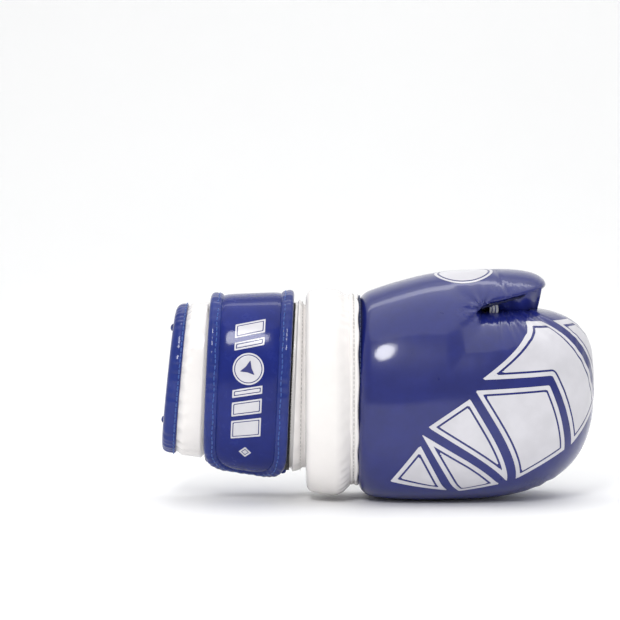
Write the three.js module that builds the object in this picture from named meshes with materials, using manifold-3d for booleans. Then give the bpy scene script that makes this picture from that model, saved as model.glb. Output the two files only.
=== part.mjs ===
// Open-palm sparring glove for the right hand, standing on its little-finger edge.
// Millimetres. +X runs to the fingers, +Z to the thumb, -Y out of the back of the hand.
// X is counted from the open edge of the cuff while the pieces are made; the finished
// group is moved so that its origin is the middle of its box, at the level it stands on.
import * as THREE from "three";
import { mergeVertices } from "three/addons/utils/BufferGeometryUtils.js";
import Module from "manifold-3d";

const wasm = await Module();
wasm.setup();

// ---------------------------------------------------------------- driving dimensions

// Lengths along the hand
const CUFF_LENGTH = 92; // open edge of the cuff to the padded wrist roll
const ROLL_LENGTH = 33;
const FIST_LENGTH = 155; // wrist roll to the knuckle front
const KNUCKLE_BEND = 60; // fist start to the line where the pad flexes
const PALM_PANEL_END = 13; // fist start to the near edge of the palm opening
const FINGER_EDGE = 86; // fist start to the finger pad's free edge
const CROTCH = 84; // fist start to the fork of thumb and fist
const THUMB_REACH = 121.5; // fist start to the thumb's tip

// Sections across the hand
const CUFF_HALF_HEIGHT = [46, 54.5]; // at the open edge, at the wrist roll
const CUFF_HALF_DEPTH = [33, 36];
const CUFF_RISE = [19, 13.5]; // how far the cuff's middle lies above the fist's
const CUFF_MID_Y = -6;
const CUFF_LEAN = [9.7, 4.2]; // how far the thumb side of the open edge, and of the strap, lies forward
const ROLL_BULGE = 11; // how far the roll stands out of the cuff
const FIST_HALF_HEIGHT = 62;
const FIST_BACK = 56; // middle plane to the back of the hand
const FIST_PALM = 50; // middle plane to the finger pad's palm side
const PALM_EDGE_Y = 24; // where the side walls stop, on the palm side
const THUMB_HALF_HEIGHT = 43;
const THUMB_HALF_DEPTH = 46;
const THUMB_RIM_RISE = 10; // how much further to the palm the thumb's rim lies at its tip

// Walls
const SKIN = 1.2; // coated cover
const LINING = 2;
const CUFF_FOAM = 8;
const BACK_WALL = 28; // whole wall over the back of the hand
const FRONT_WALL = 32; // whole wall in front of the knuckles
const SIDE_WALL = 18;
const FINGER_PAD_WALL = 26; // whole wall of the pad under the fingertips
const THUMB_WALL = 11;
const NEOPRENE = 3;
const PALM_ROOM = 18; // how much deeper the hand's room is where the palm is open
const GAP = 0.3; // clearance between neighbouring pieces
const FLOOR_FLAT = 2; // how much of the round little-finger edge is pressed flat
const THUMB_DROP = 14; // the thumb's centre line below the top of the fist
const FORK_LIFT = 5.5; // the thumb's lower edge above the top of the fist, at the fork

// Strap
const STRAP_TO_ROLL = 12; // bare cuff between the strap and the wrist roll
const STRAP_WIDTH = 54;
const STRAP_THICKNESS = 3.2;
const STRAP_EDGE = 6.6; // width of its bound edge
const STRAP_EDGE_THICKNESS = 4.4;
const HOOK_THICKNESS = 1.3;
const HOOK_MARGIN = 6; // strap's edge to the hook behind it
const LOOP_SHOWS = 2.5; // how far the loop patch comes out beside the strap
const TIP_BORDER = 7; // degrees of bound edge at the strap's rounded end
const LOOP_THICKNESS = 1.4;
const BADGE_RADIUS = 15;

// Where pieces lie round the cuff, in degrees from the back of the hand, positive to the thumb.
// Angles past 180 carry on over the palm to the little-finger side.
const CUFF_OPENING = 140;
const STRAP_ROOT = 257;
const STRAP_ROOT_END = 240;
const STRAP_THUMB_BEND = 92;
const STRAP_TIP_BEND = -31;
const STRAP_TIP_END = -86;
const BEND_HALF_GAP = 1.2;
const LOOP_SPAN = [-88, 80];

// Joint clearances
const KNUCKLE_NOTCH = 5.5; // degrees of notch on the palm side of the knuckle line
const SPLIT_GAP = 0.4;

// Colours
const BLUE = 0x1c2a8c;
const WHITE = 0xf1eeea;
const BLACK = 0x151617;
const FOAM = 0x3c3f44;
const NAVY = 0x16237a;

// ---------------------------------------------------------------- materials

const coated = (color) => new THREE.MeshStandardMaterial({ color, roughness: 0.16, metalness: 0 });
const cloth = (color) => new THREE.MeshStandardMaterial({ color, roughness: 0.9, metalness: 0 });

// ---------------------------------------------------------------- helpers

const FIST_START = CUFF_LENGTH + ROLL_LENGTH;
const FIST_MID_Z = FIST_HALF_HEIGHT - FLOOR_FLAT;
const FIST_TOP = FIST_MID_Z + FIST_HALF_HEIGHT;
const FAR = 400;
const radians = THREE.MathUtils.degToRad;
const lerp = THREE.MathUtils.lerp;

/** The geometry as a solid, turned the right way out if its mapping mirrored it. */
function solid(geometry) {
  const bare = geometry.clone();
  bare.deleteAttribute("normal");
  bare.deleteAttribute("uv");
  const merged = mergeVertices(bare, 1e-4);
  const corners = new Uint32Array(merged.index.array);
  const made = (triVerts) =>
    new wasm.Manifold(
      new wasm.Mesh({ numProp: 3, vertProperties: merged.attributes.position.array, triVerts }),
    );
  const first = made(corners);
  if (first.volume() > 0) return first;
  for (let i = 0; i < corners.length; i += 3) {
    [corners[i + 1], corners[i + 2]] = [corners[i + 2], corners[i + 1]];
  }
  return made(corners);
}

/** A named mesh of the solid, with any crumbs that a cut left behind dropped. */
function mesh(name, shape, material) {
  const bodies = shape.decompose().sort((a, b) => b.volume() - a.volume());
  const { vertProperties, triVerts } = bodies[0].getMesh();
  const geometry = new THREE.BufferGeometry()
    .setAttribute("position", new THREE.BufferAttribute(vertProperties, 3))
    .setIndex(new THREE.BufferAttribute(triVerts, 1));
  geometry.computeVertexNormals();
  const made = new THREE.Mesh(geometry, material);
  made.name = name;
  return made;
}

/** A box between two corners, as a cutting block. */
function block(low, high) {
  const size = high.map((v, i) => v - low[i]);
  const middle = high.map((v, i) => (v + low[i]) / 2);
  return solid(new THREE.BoxGeometry(...size).translate(...middle));
}

/** A slab whose unit coordinates are carried to point(u, v, w), w running through its thickness. */
function bentSlab(uSteps, vSteps, point) {
  const geometry = new THREE.BoxGeometry(1, 1, 1, uSteps, vSteps, 1);
  const place = geometry.attributes.position;
  for (let i = 0; i < place.count; i += 1) {
    place.setXYZ(i, ...point(place.getX(i) + 0.5, place.getY(i) + 0.5, place.getZ(i) + 0.5));
  }
  return solid(geometry);
}

const power = (value, exponent) => Math.sign(value) * Math.abs(value) ** exponent;

/** How far a rounded end has closed at s: 1 in the middle, 0 at s = 1 or -1. */
const closing = (s, roundness) => (1 - Math.min(1, Math.abs(s)) ** roundness) ** (1 / roundness);

// ---------------------------------------------------------------- cuff sections

const SECTION_POWER = 2 / 2.4; // a section between an ellipse and a box
const strapEnd = CUFF_LENGTH - STRAP_TO_ROLL;
const strapX = [strapEnd - STRAP_WIDTH, strapEnd];
const cuffLow = FIST_MID_Z + CUFF_RISE[0] - CUFF_HALF_HEIGHT[0];

/** How far the thumb side of the cuff lies forward at x: steady under the strap, none at the roll. */
function leanAt(x) {
  const steadyEnd = strapX[1] + LOOP_SHOWS;
  if (x < strapX[0]) return lerp(...CUFF_LEAN, x / strapX[0]);
  if (x < steadyEnd) return CUFF_LEAN[1];
  return lerp(CUFF_LEAN[1], 0, Math.min(1, (x - steadyEnd) / (CUFF_LENGTH - steadyEnd)));
}

/** A point round the cuff: x from its open edge, degrees from the back, and a stand-off. */
function cuffPoint(x, degrees, standOff) {
  const along = x / CUFF_LENGTH;
  const halfHeight = lerp(...CUFF_HALF_HEIGHT, along) + standOff;
  const halfDepth = lerp(...CUFF_HALF_DEPTH, along) + standOff;
  const angle = radians(degrees);
  const z = FIST_MID_Z + lerp(...CUFF_RISE, along) + halfHeight * power(Math.sin(angle), SECTION_POWER);
  return [
    x + leanAt(x) * (z - cuffLow) / (2 * CUFF_HALF_HEIGHT[0]),
    CUFF_MID_Y - halfDepth * power(Math.cos(angle), SECTION_POWER),
    z,
  ];
}

/** A band round the cuff, between two x, two angles and two stand-offs. */
function cuffBand([x0, x1], [from, to], [inner, outer], steps = 28, xSteps = 1) {
  return bentSlab(steps, xSteps, (u, v, w) => cuffPoint(lerp(x0, x1, v), lerp(from, to, u), lerp(inner, outer, w)));
}

// ---------------------------------------------------------------- fist and thumb bodies

const AROUND = 26;
const ALONG = 16;
const FIST_SECTION = 2.5;
const FIST_MID_X = 70;
const FIST_REAR = 90; // the fist's rear end would close this far behind its middle
const FIST_TILT = 13; // the front leans to the thumb by this much

/**
 * A rounded body along X. half(s) gives the rear or front half length, and section(s, x)
 * gives the section's middle and half sizes; all of it lies inset inside the outer form.
 */
function roundedBody({ middle, rear, front, roundness, sectionPower, section }, inset) {
  const geometry = new THREE.SphereGeometry(1, AROUND, ALONG);
  const place = geometry.attributes.position;
  for (let i = 0; i < place.count; i += 1) {
    const axis = place.getY(i);
    const end = axis < 0 ? rear : front;
    const s = power(axis, 2 / roundness(axis));
    const x = middle + s * (end - inset);
    const angle = Math.atan2(place.getZ(i), place.getX(i));
    const { y, z, back, palm, height } = section(Math.sign(axis) * Math.min(1, Math.abs(s)), x, inset);
    const turn = Math.cos(angle);
    const depth = turn < 0 ? back : palm;
    place.setXYZ(
      i,
      FIST_START + x,
      y + depth * power(turn, 2 / sectionPower),
      z + height * power(Math.sin(angle), 2 / sectionPower),
    );
  }
  return solid(geometry);
}

const FIST = {
  middle: FIST_MID_X,
  rear: FIST_REAR,
  front: FIST_LENGTH - FIST_MID_X,
  roundness: (axis) => (axis < 0 ? 4 : 2.6),
  sectionPower: FIST_SECTION,
  section(s, x, inset) {
    const front = Math.max(0, x) / FIST_LENGTH;
    const tall = s < 0 ? 4 : 3;
    const deep = s < 0 ? 4 : 2.4;
    return {
      y: 0,
      z: FIST_MID_Z + FIST_TILT * front ** 3,
      back: (FIST_BACK - inset) * closing(s, deep),
      palm: (FIST_PALM - inset) * closing(s, deep),
      height: (FIST_HALF_HEIGHT - inset) * closing(s, tall),
    };
  },
};

const HAND_DEPTH = (FIST_PALM - FINGER_PAD_WALL + FIST_BACK - BACK_WALL) / 2;
const HAND_MID_Y = HAND_DEPTH - (FIST_BACK - BACK_WALL);
const HAND_MIDDLE = 40;

const HAND = {
  middle: HAND_MIDDLE,
  rear: 80,
  front: FIST_LENGTH - FRONT_WALL - HAND_MIDDLE,
  roundness: () => 3.2,
  sectionPower: 3,
  section(s, x, inset) {
    const front = Math.max(0, x) / FIST_LENGTH;
    const open = 1 - THREE.MathUtils.smoothstep(x, KNUCKLE_BEND, FINGER_EDGE);
    return {
      y: HAND_MID_Y,
      z: FIST_MID_Z + FIST_TILT * front ** 3,
      back: (HAND_DEPTH - inset) * closing(s, 3),
      palm: (HAND_DEPTH + PALM_ROOM * open - inset) * closing(s, 3),
      height: (FIST_HALF_HEIGHT - SIDE_WALL - inset) * closing(s, 3),
    };
  },
};

const THUMB_MIDDLE = 60;
const THUMB_MID = { y: 12, z: FIST_TOP - THUMB_DROP, slopeY: 0.12, slopeZ: 0.2 };

/** The thumb's centre line, which bends down to the wrist behind its middle. */
function thumbMiddle(x) {
  const behind = Math.max(0, THUMB_MIDDLE - x);
  return {
    y: THUMB_MID.y - THUMB_MID.slopeY * behind,
    z: THUMB_MID.z - THUMB_MID.slopeZ * behind,
  };
}

const THUMB = {
  middle: THUMB_MIDDLE,
  rear: 90,
  front: THUMB_REACH - THUMB_MIDDLE,
  roundness: (axis) => (axis < 0 ? 2.5 : 5),
  sectionPower: 2.1,
  section(s, x, inset) {
    const close = closing(s, s < 0 ? 2.5 : 6);
    const depth = (THUMB_HALF_DEPTH - inset) * close;
    return { ...thumbMiddle(x), back: depth, palm: depth, height: (THUMB_HALF_HEIGHT - inset) * close };
  },
};

const THUMB_HOLLOW = {
  middle: THUMB_MIDDLE,
  rear: 78,
  front: THUMB_REACH - THUMB_WALL - THUMB_MIDDLE,
  roundness: () => 4,
  sectionPower: 2.1,
  section(s, x, inset) {
    const close = closing(s, 4);
    const middle = thumbMiddle(x);
    const depth = (THUMB_HALF_DEPTH - THUMB_WALL + 1 - inset) * close;
    return {
      y: middle.y + 8,
      z: middle.z + 2,
      back: depth,
      palm: depth,
      height: (THUMB_HALF_HEIGHT - THUMB_WALL - inset) * close,
    };
  },
};

/** The fist's outer body, pressed flat where it stands. */
const fist = (inset) => roundedBody(FIST, inset).intersect(block([-FAR, -FAR, inset], [FAR, FAR, FAR]));
const thumb = (inset) => roundedBody(THUMB, inset);

/** The room for the thumb, which opens into the hand's room only behind the fork. */
const thumbHollow = (inset) => roundedBody(THUMB_HOLLOW, inset);
const hand = (inset) => roundedBody(HAND, inset);
const hollow = (inset) =>
  hand(inset).add(
    thumbHollow(inset).intersect(block([-FAR, -FAR, -FAR], [FIST_START + CROTCH - inset, FAR, FAR])),
  );

// ---------------------------------------------------------------- cutting shapes

/** Everything on the palm side of the side walls, up to the finger pad's free edge. */
function palmOpening(shift, drop = 0) {
  const x = FIST_START + shift;
  const edge = PALM_EDGE_Y - drop;
  const shape = new THREE.Shape();
  shape.moveTo(-FAR, edge);
  shape.lineTo(x + FINGER_EDGE - 24, edge);
  shape.quadraticCurveTo(x + FINGER_EDGE - 5, edge + 1, x + FINGER_EDGE, edge + 14);
  shape.lineTo(x + FINGER_EDGE + 2, FAR);
  shape.lineTo(-FAR, FAR);
  return solid(new THREE.ExtrudeGeometry(shape, { depth: 2 * FAR, bevelEnabled: false, curveSegments: 6 }).translate(0, 0, -FAR));
}

/** Everything on the palm side of the thumb's rim. */
function thumbOpening() {
  const shape = new THREE.Shape();
  shape.moveTo(-FAR, PALM_EDGE_Y);
  shape.lineTo(FIST_START + KNUCKLE_BEND, PALM_EDGE_Y);
  shape.lineTo(FIST_START + THUMB_REACH, PALM_EDGE_Y + THUMB_RIM_RISE);
  shape.lineTo(FAR, PALM_EDGE_Y + THUMB_RIM_RISE);
  shape.lineTo(FAR, FAR);
  shape.lineTo(-FAR, FAR);
  return solid(new THREE.ExtrudeGeometry(shape, { depth: 2 * FAR, bevelEnabled: false }).translate(0, 0, -FAR));
}

const FORK_Z = FIST_TOP + FORK_LIFT;
const FORK_RISE = 0.26; // its rise to the tip, per millimetre

/** What lies below the thumb's lower edge in front of the fork. */
function belowThumb() {
  const from = FIST_START + CROTCH - 6;
  const shape = new THREE.Shape();
  shape.moveTo(from, FORK_Z - 6 * FORK_RISE);
  shape.lineTo(from + 80, FORK_Z + 74 * FORK_RISE);
  shape.lineTo(from + 80, -FAR);
  shape.lineTo(from, -FAR);
  const flat = new THREE.ExtrudeGeometry(shape, { depth: 2 * FAR, bevelEnabled: false });
  return solid(flat.translate(0, 0, -FAR).rotateX(Math.PI / 2));
}

// The knuckle line: a hinge along Z, just outside the back of the hand.
const hingeX = FIST_START + KNUCKLE_BEND;
const hingeY = -FIST_BACK - 1;
const overBack = block([FIST_START, -FAR, -FAR], [hingeX - SPLIT_GAP / 2, FAR, FAR]);
const overFingers = solid(
  new THREE.BoxGeometry(FAR, 2 * FAR, 2 * FAR)
    .translate(FAR / 2 + SPLIT_GAP / 2, 0, 0)
    .rotateZ(-radians(KNUCKLE_NOTCH))
    .translate(hingeX, hingeY, 0),
);

const SIDE_PANEL_HEIGHT = 9; // height of the cover's panel on the little-finger edge
const low = block([-FAR, -FAR, -FAR], [FAR, FAR, SIDE_PANEL_HEIGHT - GAP / 2]);
const high = block([-FAR, -FAR, SIDE_PANEL_HEIGHT + GAP / 2], [FAR, FAR, FAR]);

// ---------------------------------------------------------------- cuff and wrist roll

const BINDING_WIDTH = 7.5;
const BINDING_THICKNESS = 1.4;
const cuffAround = [-CUFF_OPENING, CUFF_OPENING];
const palmSpan = [CUFF_OPENING + 0.5, 360 - CUFF_OPENING - 0.5];
const foamOuter = -SKIN - GAP;
const foamInner = foamOuter - CUFF_FOAM;
const liningOuter = foamInner - GAP;
const liningInner = liningOuter - LINING;

function cuffPieces() {
  const cover = cuffBand([BINDING_THICKNESS + GAP, CUFF_LENGTH], cuffAround, [-SKIN, 0]);
  const foam = cuffBand([BINDING_THICKNESS + GAP, FIST_START - GAP], cuffAround, [foamInner, foamOuter]);
  const lining = cuffBand([BINDING_THICKNESS + GAP, FIST_START - GAP], cuffAround, [liningInner, liningOuter]);
  const binding = cuffBand([0, BINDING_WIDTH], cuffAround, [GAP, BINDING_THICKNESS])
    .add(cuffBand([0, BINDING_THICKNESS], cuffAround, [liningInner, BINDING_THICKNESS]));
  return [
    mesh("cuff_cover", cover, coated(WHITE)),
    mesh("cuff_foam", foam, cloth(FOAM)),
    mesh("cuff_lining", lining, cloth(BLACK)),
    mesh("cuff_binding", binding, coated(BLUE)),
  ];
}

const TAIL_LENGTH = 4;
const TAIL_RADIUS = 2;

/** The folded end of the cuff binding, which stands out at a corner of the palm gap. */
function bindingTail(name, degrees) {
  const [x, y, z] = cuffPoint(0, degrees, -3);
  const tail = new THREE.CapsuleGeometry(TAIL_RADIUS, TAIL_LENGTH, 3, 8);
  tail.rotateZ(Math.PI / 2).translate(x - TAIL_LENGTH / 2 - TAIL_RADIUS - GAP, y, z);
  return mesh(name, solid(tail), coated(NAVY));
}

const HEEL_START = FIST_START - 13;

function palmSidePieces() {
  const gusset = cuffBand([1, HEEL_START - GAP], palmSpan, [-NEOPRENE, 0], 12, 3);
  const heelEdge = FIST_START + PALM_PANEL_END;
  const heel = bentSlab(12, 3, (u, v, w) => {
    const x = lerp(HEEL_START, heelEdge, v);
    const [, y, z] = cuffPoint(Math.min(x, FIST_START), lerp(...palmSpan, u), lerp(-NEOPRENE, 0, w));
    return [x, y + 2.5 * v, z];
  }).subtract(fist(-GAP).subtract(palmOpening(0, -GAP)));
  return [
    mesh("wrist_gusset", gusset, cloth(BLACK)),
    mesh("heel_panel", heel, cloth(BLACK)),
  ];
}

/** Stand-off of the wrist roll at v, from its near edge (0) to the fist (1). */
function rollProfile(v) {
  const rise = Math.min(1, v / 0.16);
  const fall = v < 0.62 ? 0 : (v - 0.62) / 0.38;
  return ROLL_BULGE * Math.sqrt(rise * (2 - rise)) * (1 - 0.72 * fall ** 1.4);
}

const FLANGE_WIDTH = 5;

function rollPieces() {
  const x0 = CUFF_LENGTH + GAP;
  const x1 = FIST_START - FLANGE_WIDTH - GAP;
  const base = foamOuter + GAP;
  const at = (v) => lerp(x0, x1, v);
  const band = (inner, outer, trim) =>
    bentSlab(28, 8, (u, v, w) => {
      const x = at(lerp(trim, 1 - trim, v));
      const degrees = lerp(-CUFF_OPENING + trim * 20, CUFF_OPENING - trim * 20, u);
      return cuffPoint(x, degrees, lerp(inner(v), outer(v), w));
    });
  const outside = (v) => base + 2 + rollProfile(lerp(0.02, 1, v)) - 1;
  const whole = band(() => base, outside, 0);
  const padding = band(() => base + GAP, (v) => outside(v) - SKIN - GAP, 0.06);
  const room = band(() => base - 5, (v) => outside(v) - SKIN, 0.05);
  const flange = cuffBand([FIST_START - FLANGE_WIDTH, FIST_START - GAP], cuffAround, [base, base + 4]);
  return [
    mesh("roll_cover", whole.subtract(room), coated(WHITE)),
    mesh("roll_foam", padding, cloth(FOAM)),
    mesh("roll_flange", flange, coated(WHITE)),
  ];
}

// ---------------------------------------------------------------- fist and thumb pieces

const foamInset = SKIN + GAP;
const foamToHollow = -LINING - GAP;

function backPieces() {
  const outside = (inset) => fist(inset).add(thumb(inset)).intersect(overBack);
  const palm = palmOpening(0);
  const cover = outside(0).subtract(outside(SKIN)).subtract(hollow(-LINING)).subtract(palm);
  const foam = outside(foamInset).subtract(hollow(foamToHollow)).subtract(palm);
  const lining = hollow(-LINING).subtract(hollow(0)).intersect(overBack).subtract(palm);
  return [
    mesh("back_cover", cover.intersect(high), coated(BLUE)),
    mesh("back_side_panel", cover.intersect(low), coated(BLUE)),
    mesh("back_foam", foam, cloth(FOAM)),
    mesh("back_lining", lining, cloth(BLACK)),
  ];
}

const HEM_WIDTH = 13; // how far the mesh hem comes round onto the blue cover
const HEM_THICKNESS = 1.5;

function fingerPieces() {
  const palm = palmOpening(0);
  const shell = fist(0).subtract(fist(SKIN));
  const cover = shell.intersect(overFingers).subtract(palm).subtract(hollow(-LINING));
  const foam = fist(foamInset).subtract(hollow(foamToHollow)).intersect(overFingers).subtract(palm);
  const lining = hollow(-LINING).subtract(hollow(0)).intersect(overFingers).subtract(palm)
    .intersect(fist(foamInset));
  const capped = fist(-HEM_THICKNESS).subtract(palmOpening(-HEM_THICKNESS));
  const kept = fist(-GAP).subtract(palmOpening(-GAP));
  const hem = capped.subtract(kept).intersect(palmOpening(HEM_WIDTH)).subtract(hollow(-LINING - GAP))
    .intersect(block([hingeX + KNUCKLE_BEND / 6, PALM_EDGE_Y + GAP, 1], [FAR, FAR, FAR]));
  return [
    mesh("finger_cover", cover.intersect(high), coated(BLUE)),
    mesh("finger_side_panel", cover.intersect(low), coated(BLUE)),
    mesh("finger_foam", foam, cloth(FOAM)),
    mesh("finger_lining", lining, cloth(BLACK)),
    mesh("finger_hem", hem, cloth(BLACK)),
  ];
}

function thumbPieces() {
  const cut = (shape) =>
    shape.intersect(overFingers).subtract(fist(-GAP)).subtract(thumbOpening()).subtract(belowThumb());
  const cover = cut(thumb(0).subtract(thumb(SKIN)).subtract(thumbHollow(-LINING)));
  const foam = cut(thumb(foamInset).subtract(thumbHollow(foamToHollow)));
  const lining = cut(thumbHollow(-LINING).subtract(thumbHollow(0)).intersect(thumb(foamInset)));
  return [
    mesh("thumb_cover", cover, coated(BLUE)),
    mesh("thumb_foam", foam, cloth(FOAM)),
    mesh("thumb_lining", lining, cloth(BLACK)),
  ];
}

const WEB = { start: 8, end: 33, thickness: 2.5, y: -17, lean: 9 };

/** The web that ties the thumb to the fist: a strip from the fist's edge to the thumb's. */
function webPieces() {
  const web = bentSlab(6, 2, (u, v, w) => {
    const x = FIST_START + CROTCH + lerp(WEB.start, WEB.end, u);
    const top = FORK_Z + (x - FIST_START - CROTCH) * FORK_RISE - GAP;
    const z = lerp(FIST_TOP - 12, top, v);
    return [x, WEB.y + WEB.lean * (1 - v) + WEB.thickness * (w - 0.5), z];
  }).subtract(fist(-GAP));
  const labelX = FIST_START + CROTCH + WEB.start;
  const label = bentSlab(1, 1, (u, v, w) => [
    lerp(labelX - 4, labelX - GAP, u),
    WEB.y + WEB.lean * (1 - v) + (w - 0.5),
    lerp(FORK_Z - 7, FORK_Z, v),
  ]).subtract(fist(-GAP)).subtract(thumb(-GAP).subtract(belowThumb()));
  return [mesh("thumb_web", web, coated(BLUE)), mesh("thumb_label", label, coated(WHITE))];
}

// ---------------------------------------------------------------- strap

const panelX = [strapX[0] + STRAP_EDGE + GAP, strapX[1] - STRAP_EDGE - GAP];
const nearEdgeX = [strapX[0], strapX[0] + STRAP_EDGE];
const farEdgeX = [strapX[1] - STRAP_EDGE, strapX[1]];
const hookX = [strapX[0] + HOOK_MARGIN, strapX[1] - HOOK_MARGIN];
const loopX = [strapX[0] + 1, strapX[1] + LOOP_SHOWS];
const hookBase = GAP + LOOP_THICKNESS + GAP;
const strapBase = hookBase + HOOK_THICKNESS + GAP;
const panelSpan = [strapBase, strapBase + STRAP_THICKNESS];
const edgeSpan = [strapBase, strapBase + STRAP_EDGE_THICKNESS];

/** The three bands of a strap section: its panel and its two bound edges. */
function strapSection(name, angles, steps) {
  return [
    mesh(`${name}_panel`, cuffBand(panelX, angles, panelSpan, steps), coated(BLUE)),
    mesh(`${name}_edge_near`, cuffBand(nearEdgeX, angles, edgeSpan, steps), coated(BLUE)),
    mesh(`${name}_edge_far`, cuffBand(farEdgeX, angles, edgeSpan, steps), coated(BLUE)),
  ];
}

const wrapAngles = [STRAP_THUMB_BEND + BEND_HALF_GAP, STRAP_ROOT_END - BEND_HALF_GAP];
const flapAngles = [STRAP_TIP_BEND + BEND_HALF_GAP, STRAP_THUMB_BEND - BEND_HALF_GAP];
const tipAngles = [STRAP_TIP_END, STRAP_TIP_BEND - BEND_HALF_GAP];
const BADGE_ANGLE = 178;

/** The flat round badge sewn on the strap where it crosses the palm side of the wrist. */
function badge() {
  const middleX = (strapX[0] + strapX[1]) / 2;
  const [, y, z] = cuffPoint(middleX, BADGE_ANGLE, panelSpan[1]);
  const disc = new THREE.CylinderGeometry(BADGE_RADIUS, BADGE_RADIUS, 1.2, 32);
  disc.translate(middleX, y + 0.6 + GAP + 0.9, z);
  return mesh("strap_badge", solid(disc), coated(WHITE));
}

/** A strap end with rounded corners, inset by a margin. */
function roundedTip(margin, span, endInset) {
  const middle = (strapX[0] + strapX[1]) / 2;
  const half = STRAP_WIDTH / 2 - margin;
  const end = tipAngles[0] + endInset;
  const straight = 0.45;
  return bentSlab(18, 6, (u, v, w) => {
    const degrees = lerp(tipAngles[1], end, u);
    const past = Math.max(0, (u - straight) / (1 - straight));
    const width = half * Math.max(0.12, closing(past, 2.4));
    return cuffPoint(middle + width * (2 * v - 1), degrees, lerp(...span, w));
  });
}

function tipPieces() {
  const outline = roundedTip(0, edgeSpan, 0);
  const hole = roundedTip(STRAP_EDGE, [edgeSpan[0] - 3, edgeSpan[1] + 3], TIP_BORDER);
  const inside = roundedTip(STRAP_EDGE + 2 * GAP, panelSpan, TIP_BORDER + 1);
  const hook = roundedTip(HOOK_MARGIN, [hookBase, hookBase + HOOK_THICKNESS], TIP_BORDER);
  return [
    mesh("strap_tip_panel", inside, coated(BLUE)),
    mesh("strap_tip_edge", outline.subtract(hole), coated(BLUE)),
    mesh("strap_tip_hook", hook, cloth(BLACK)),
  ];
}

function strapPieces() {
  const loop = cuffBand(loopX, LOOP_SPAN, [GAP, GAP + LOOP_THICKNESS], 28);
  const flapHook = cuffBand(hookX, [flapAngles[0], LOOP_SPAN[1]], [hookBase, hookBase + HOOK_THICKNESS], 20);
  const root = cuffBand(strapX, [STRAP_ROOT_END + BEND_HALF_GAP, STRAP_ROOT], [GAP, edgeSpan[1]], 4);
  return [
    mesh("cuff_loop_patch", loop, cloth(BLACK)),
    mesh("strap_root", root, coated(BLUE)),
    ...strapSection("strap_palm", wrapAngles, 20),
    badge(),
    ...strapSection("strap_back", flapAngles, 16),
    mesh("strap_back_hook", flapHook, cloth(BLACK)),
    ...tipPieces(),
  ];
}

// ---------------------------------------------------------------- the glove

const glove = new THREE.Group();
glove.add(
  ...cuffPieces(),
  bindingTail("binding_tail_thumb", CUFF_OPENING - 2),
  bindingTail("binding_tail_finger", 2 - CUFF_OPENING),
  ...palmSidePieces(),
  ...rollPieces(),
  ...backPieces(),
  ...fingerPieces(),
  ...thumbPieces(),
  ...webPieces(),
  ...strapPieces(),
);

// The origin: the middle of the glove's box, at the level it stands on.
const box = new THREE.Box3().setFromObject(glove, true);
const centre = box.getCenter(new THREE.Vector3());
glove.position.set(-centre.x, -centre.y, -box.min.z);

export default glove;
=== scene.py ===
"""An open-palm sparring glove, and the studio round it.

Shapes are worked out in millimetres in the hand's own axes: X runs from the open edge of the cuff to
the fingers, Y out of the palm and Z to the thumb. place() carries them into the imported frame.
"""

import math

import bmesh
import bpy
import numpy as np
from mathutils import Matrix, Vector


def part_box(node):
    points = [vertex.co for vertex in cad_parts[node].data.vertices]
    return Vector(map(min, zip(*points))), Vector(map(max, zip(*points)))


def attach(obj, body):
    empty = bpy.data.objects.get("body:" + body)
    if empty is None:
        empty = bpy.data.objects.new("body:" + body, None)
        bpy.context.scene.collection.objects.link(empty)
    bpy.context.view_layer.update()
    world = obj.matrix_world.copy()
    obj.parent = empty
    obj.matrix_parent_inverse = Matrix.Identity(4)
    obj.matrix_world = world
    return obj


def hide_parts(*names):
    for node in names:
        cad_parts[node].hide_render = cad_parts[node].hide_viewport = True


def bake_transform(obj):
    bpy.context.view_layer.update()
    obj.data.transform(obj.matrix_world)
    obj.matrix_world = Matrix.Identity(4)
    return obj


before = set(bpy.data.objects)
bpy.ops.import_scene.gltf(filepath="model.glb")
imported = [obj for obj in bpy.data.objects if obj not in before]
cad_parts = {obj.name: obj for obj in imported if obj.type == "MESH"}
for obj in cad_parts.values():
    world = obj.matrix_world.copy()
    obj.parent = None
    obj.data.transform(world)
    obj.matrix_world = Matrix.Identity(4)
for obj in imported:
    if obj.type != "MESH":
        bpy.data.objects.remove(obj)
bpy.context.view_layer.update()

# ---------------------------------------------------------------- sizes, in millimetres

CUFF_LENGTH = 92
ROLL_LENGTH = 33
FIST_START = CUFF_LENGTH + ROLL_LENGTH
FIST_LENGTH = 155
KNUCKLE_BEND = 60
FINGER_EDGE = 86
CROTCH = 84
THUMB_REACH = 121.5

CUFF_HALF_HEIGHT = (46, 54.5)
CUFF_HALF_DEPTH = (33, 36)
CUFF_RISE = (19, 13.5)
CUFF_MID_Y = -6
CUFF_LEAN = (9.7, 4.2)
CUFF_OPENING = 140
FIST_HALF_HEIGHT = 62
FIST_MID_Z = FIST_HALF_HEIGHT - 2
FIST_TOP = FIST_MID_Z + FIST_HALF_HEIGHT
FIST_BACK = 56
FIST_PALM = 50
PALM_EDGE = 24
THUMB_HALF_HEIGHT = 43
THUMB_HALF_DEPTH = 46
THUMB_RIM_RISE = 10
FORK_Z = FIST_TOP + 5.5
FORK_RISE = 0.26

STRAP_WIDTH = 54
STRAP_END = CUFF_LENGTH - 12
STRAP_START = STRAP_END - STRAP_WIDTH
STRAP_MID = (STRAP_START + STRAP_END) / 2
STRAP_BASE = 3.7  # stand-off of the strap's underside from the cuff
# places along the strap, in degrees round the cuff from the back of the hand, positive to the thumb
STRAP_ROOT = 257
STRAP_UNWRAP = 240
STRAP_PEEL = 92
STRAP_TIP_BEND = -31
STRAP_TIP_END = -86

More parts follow.
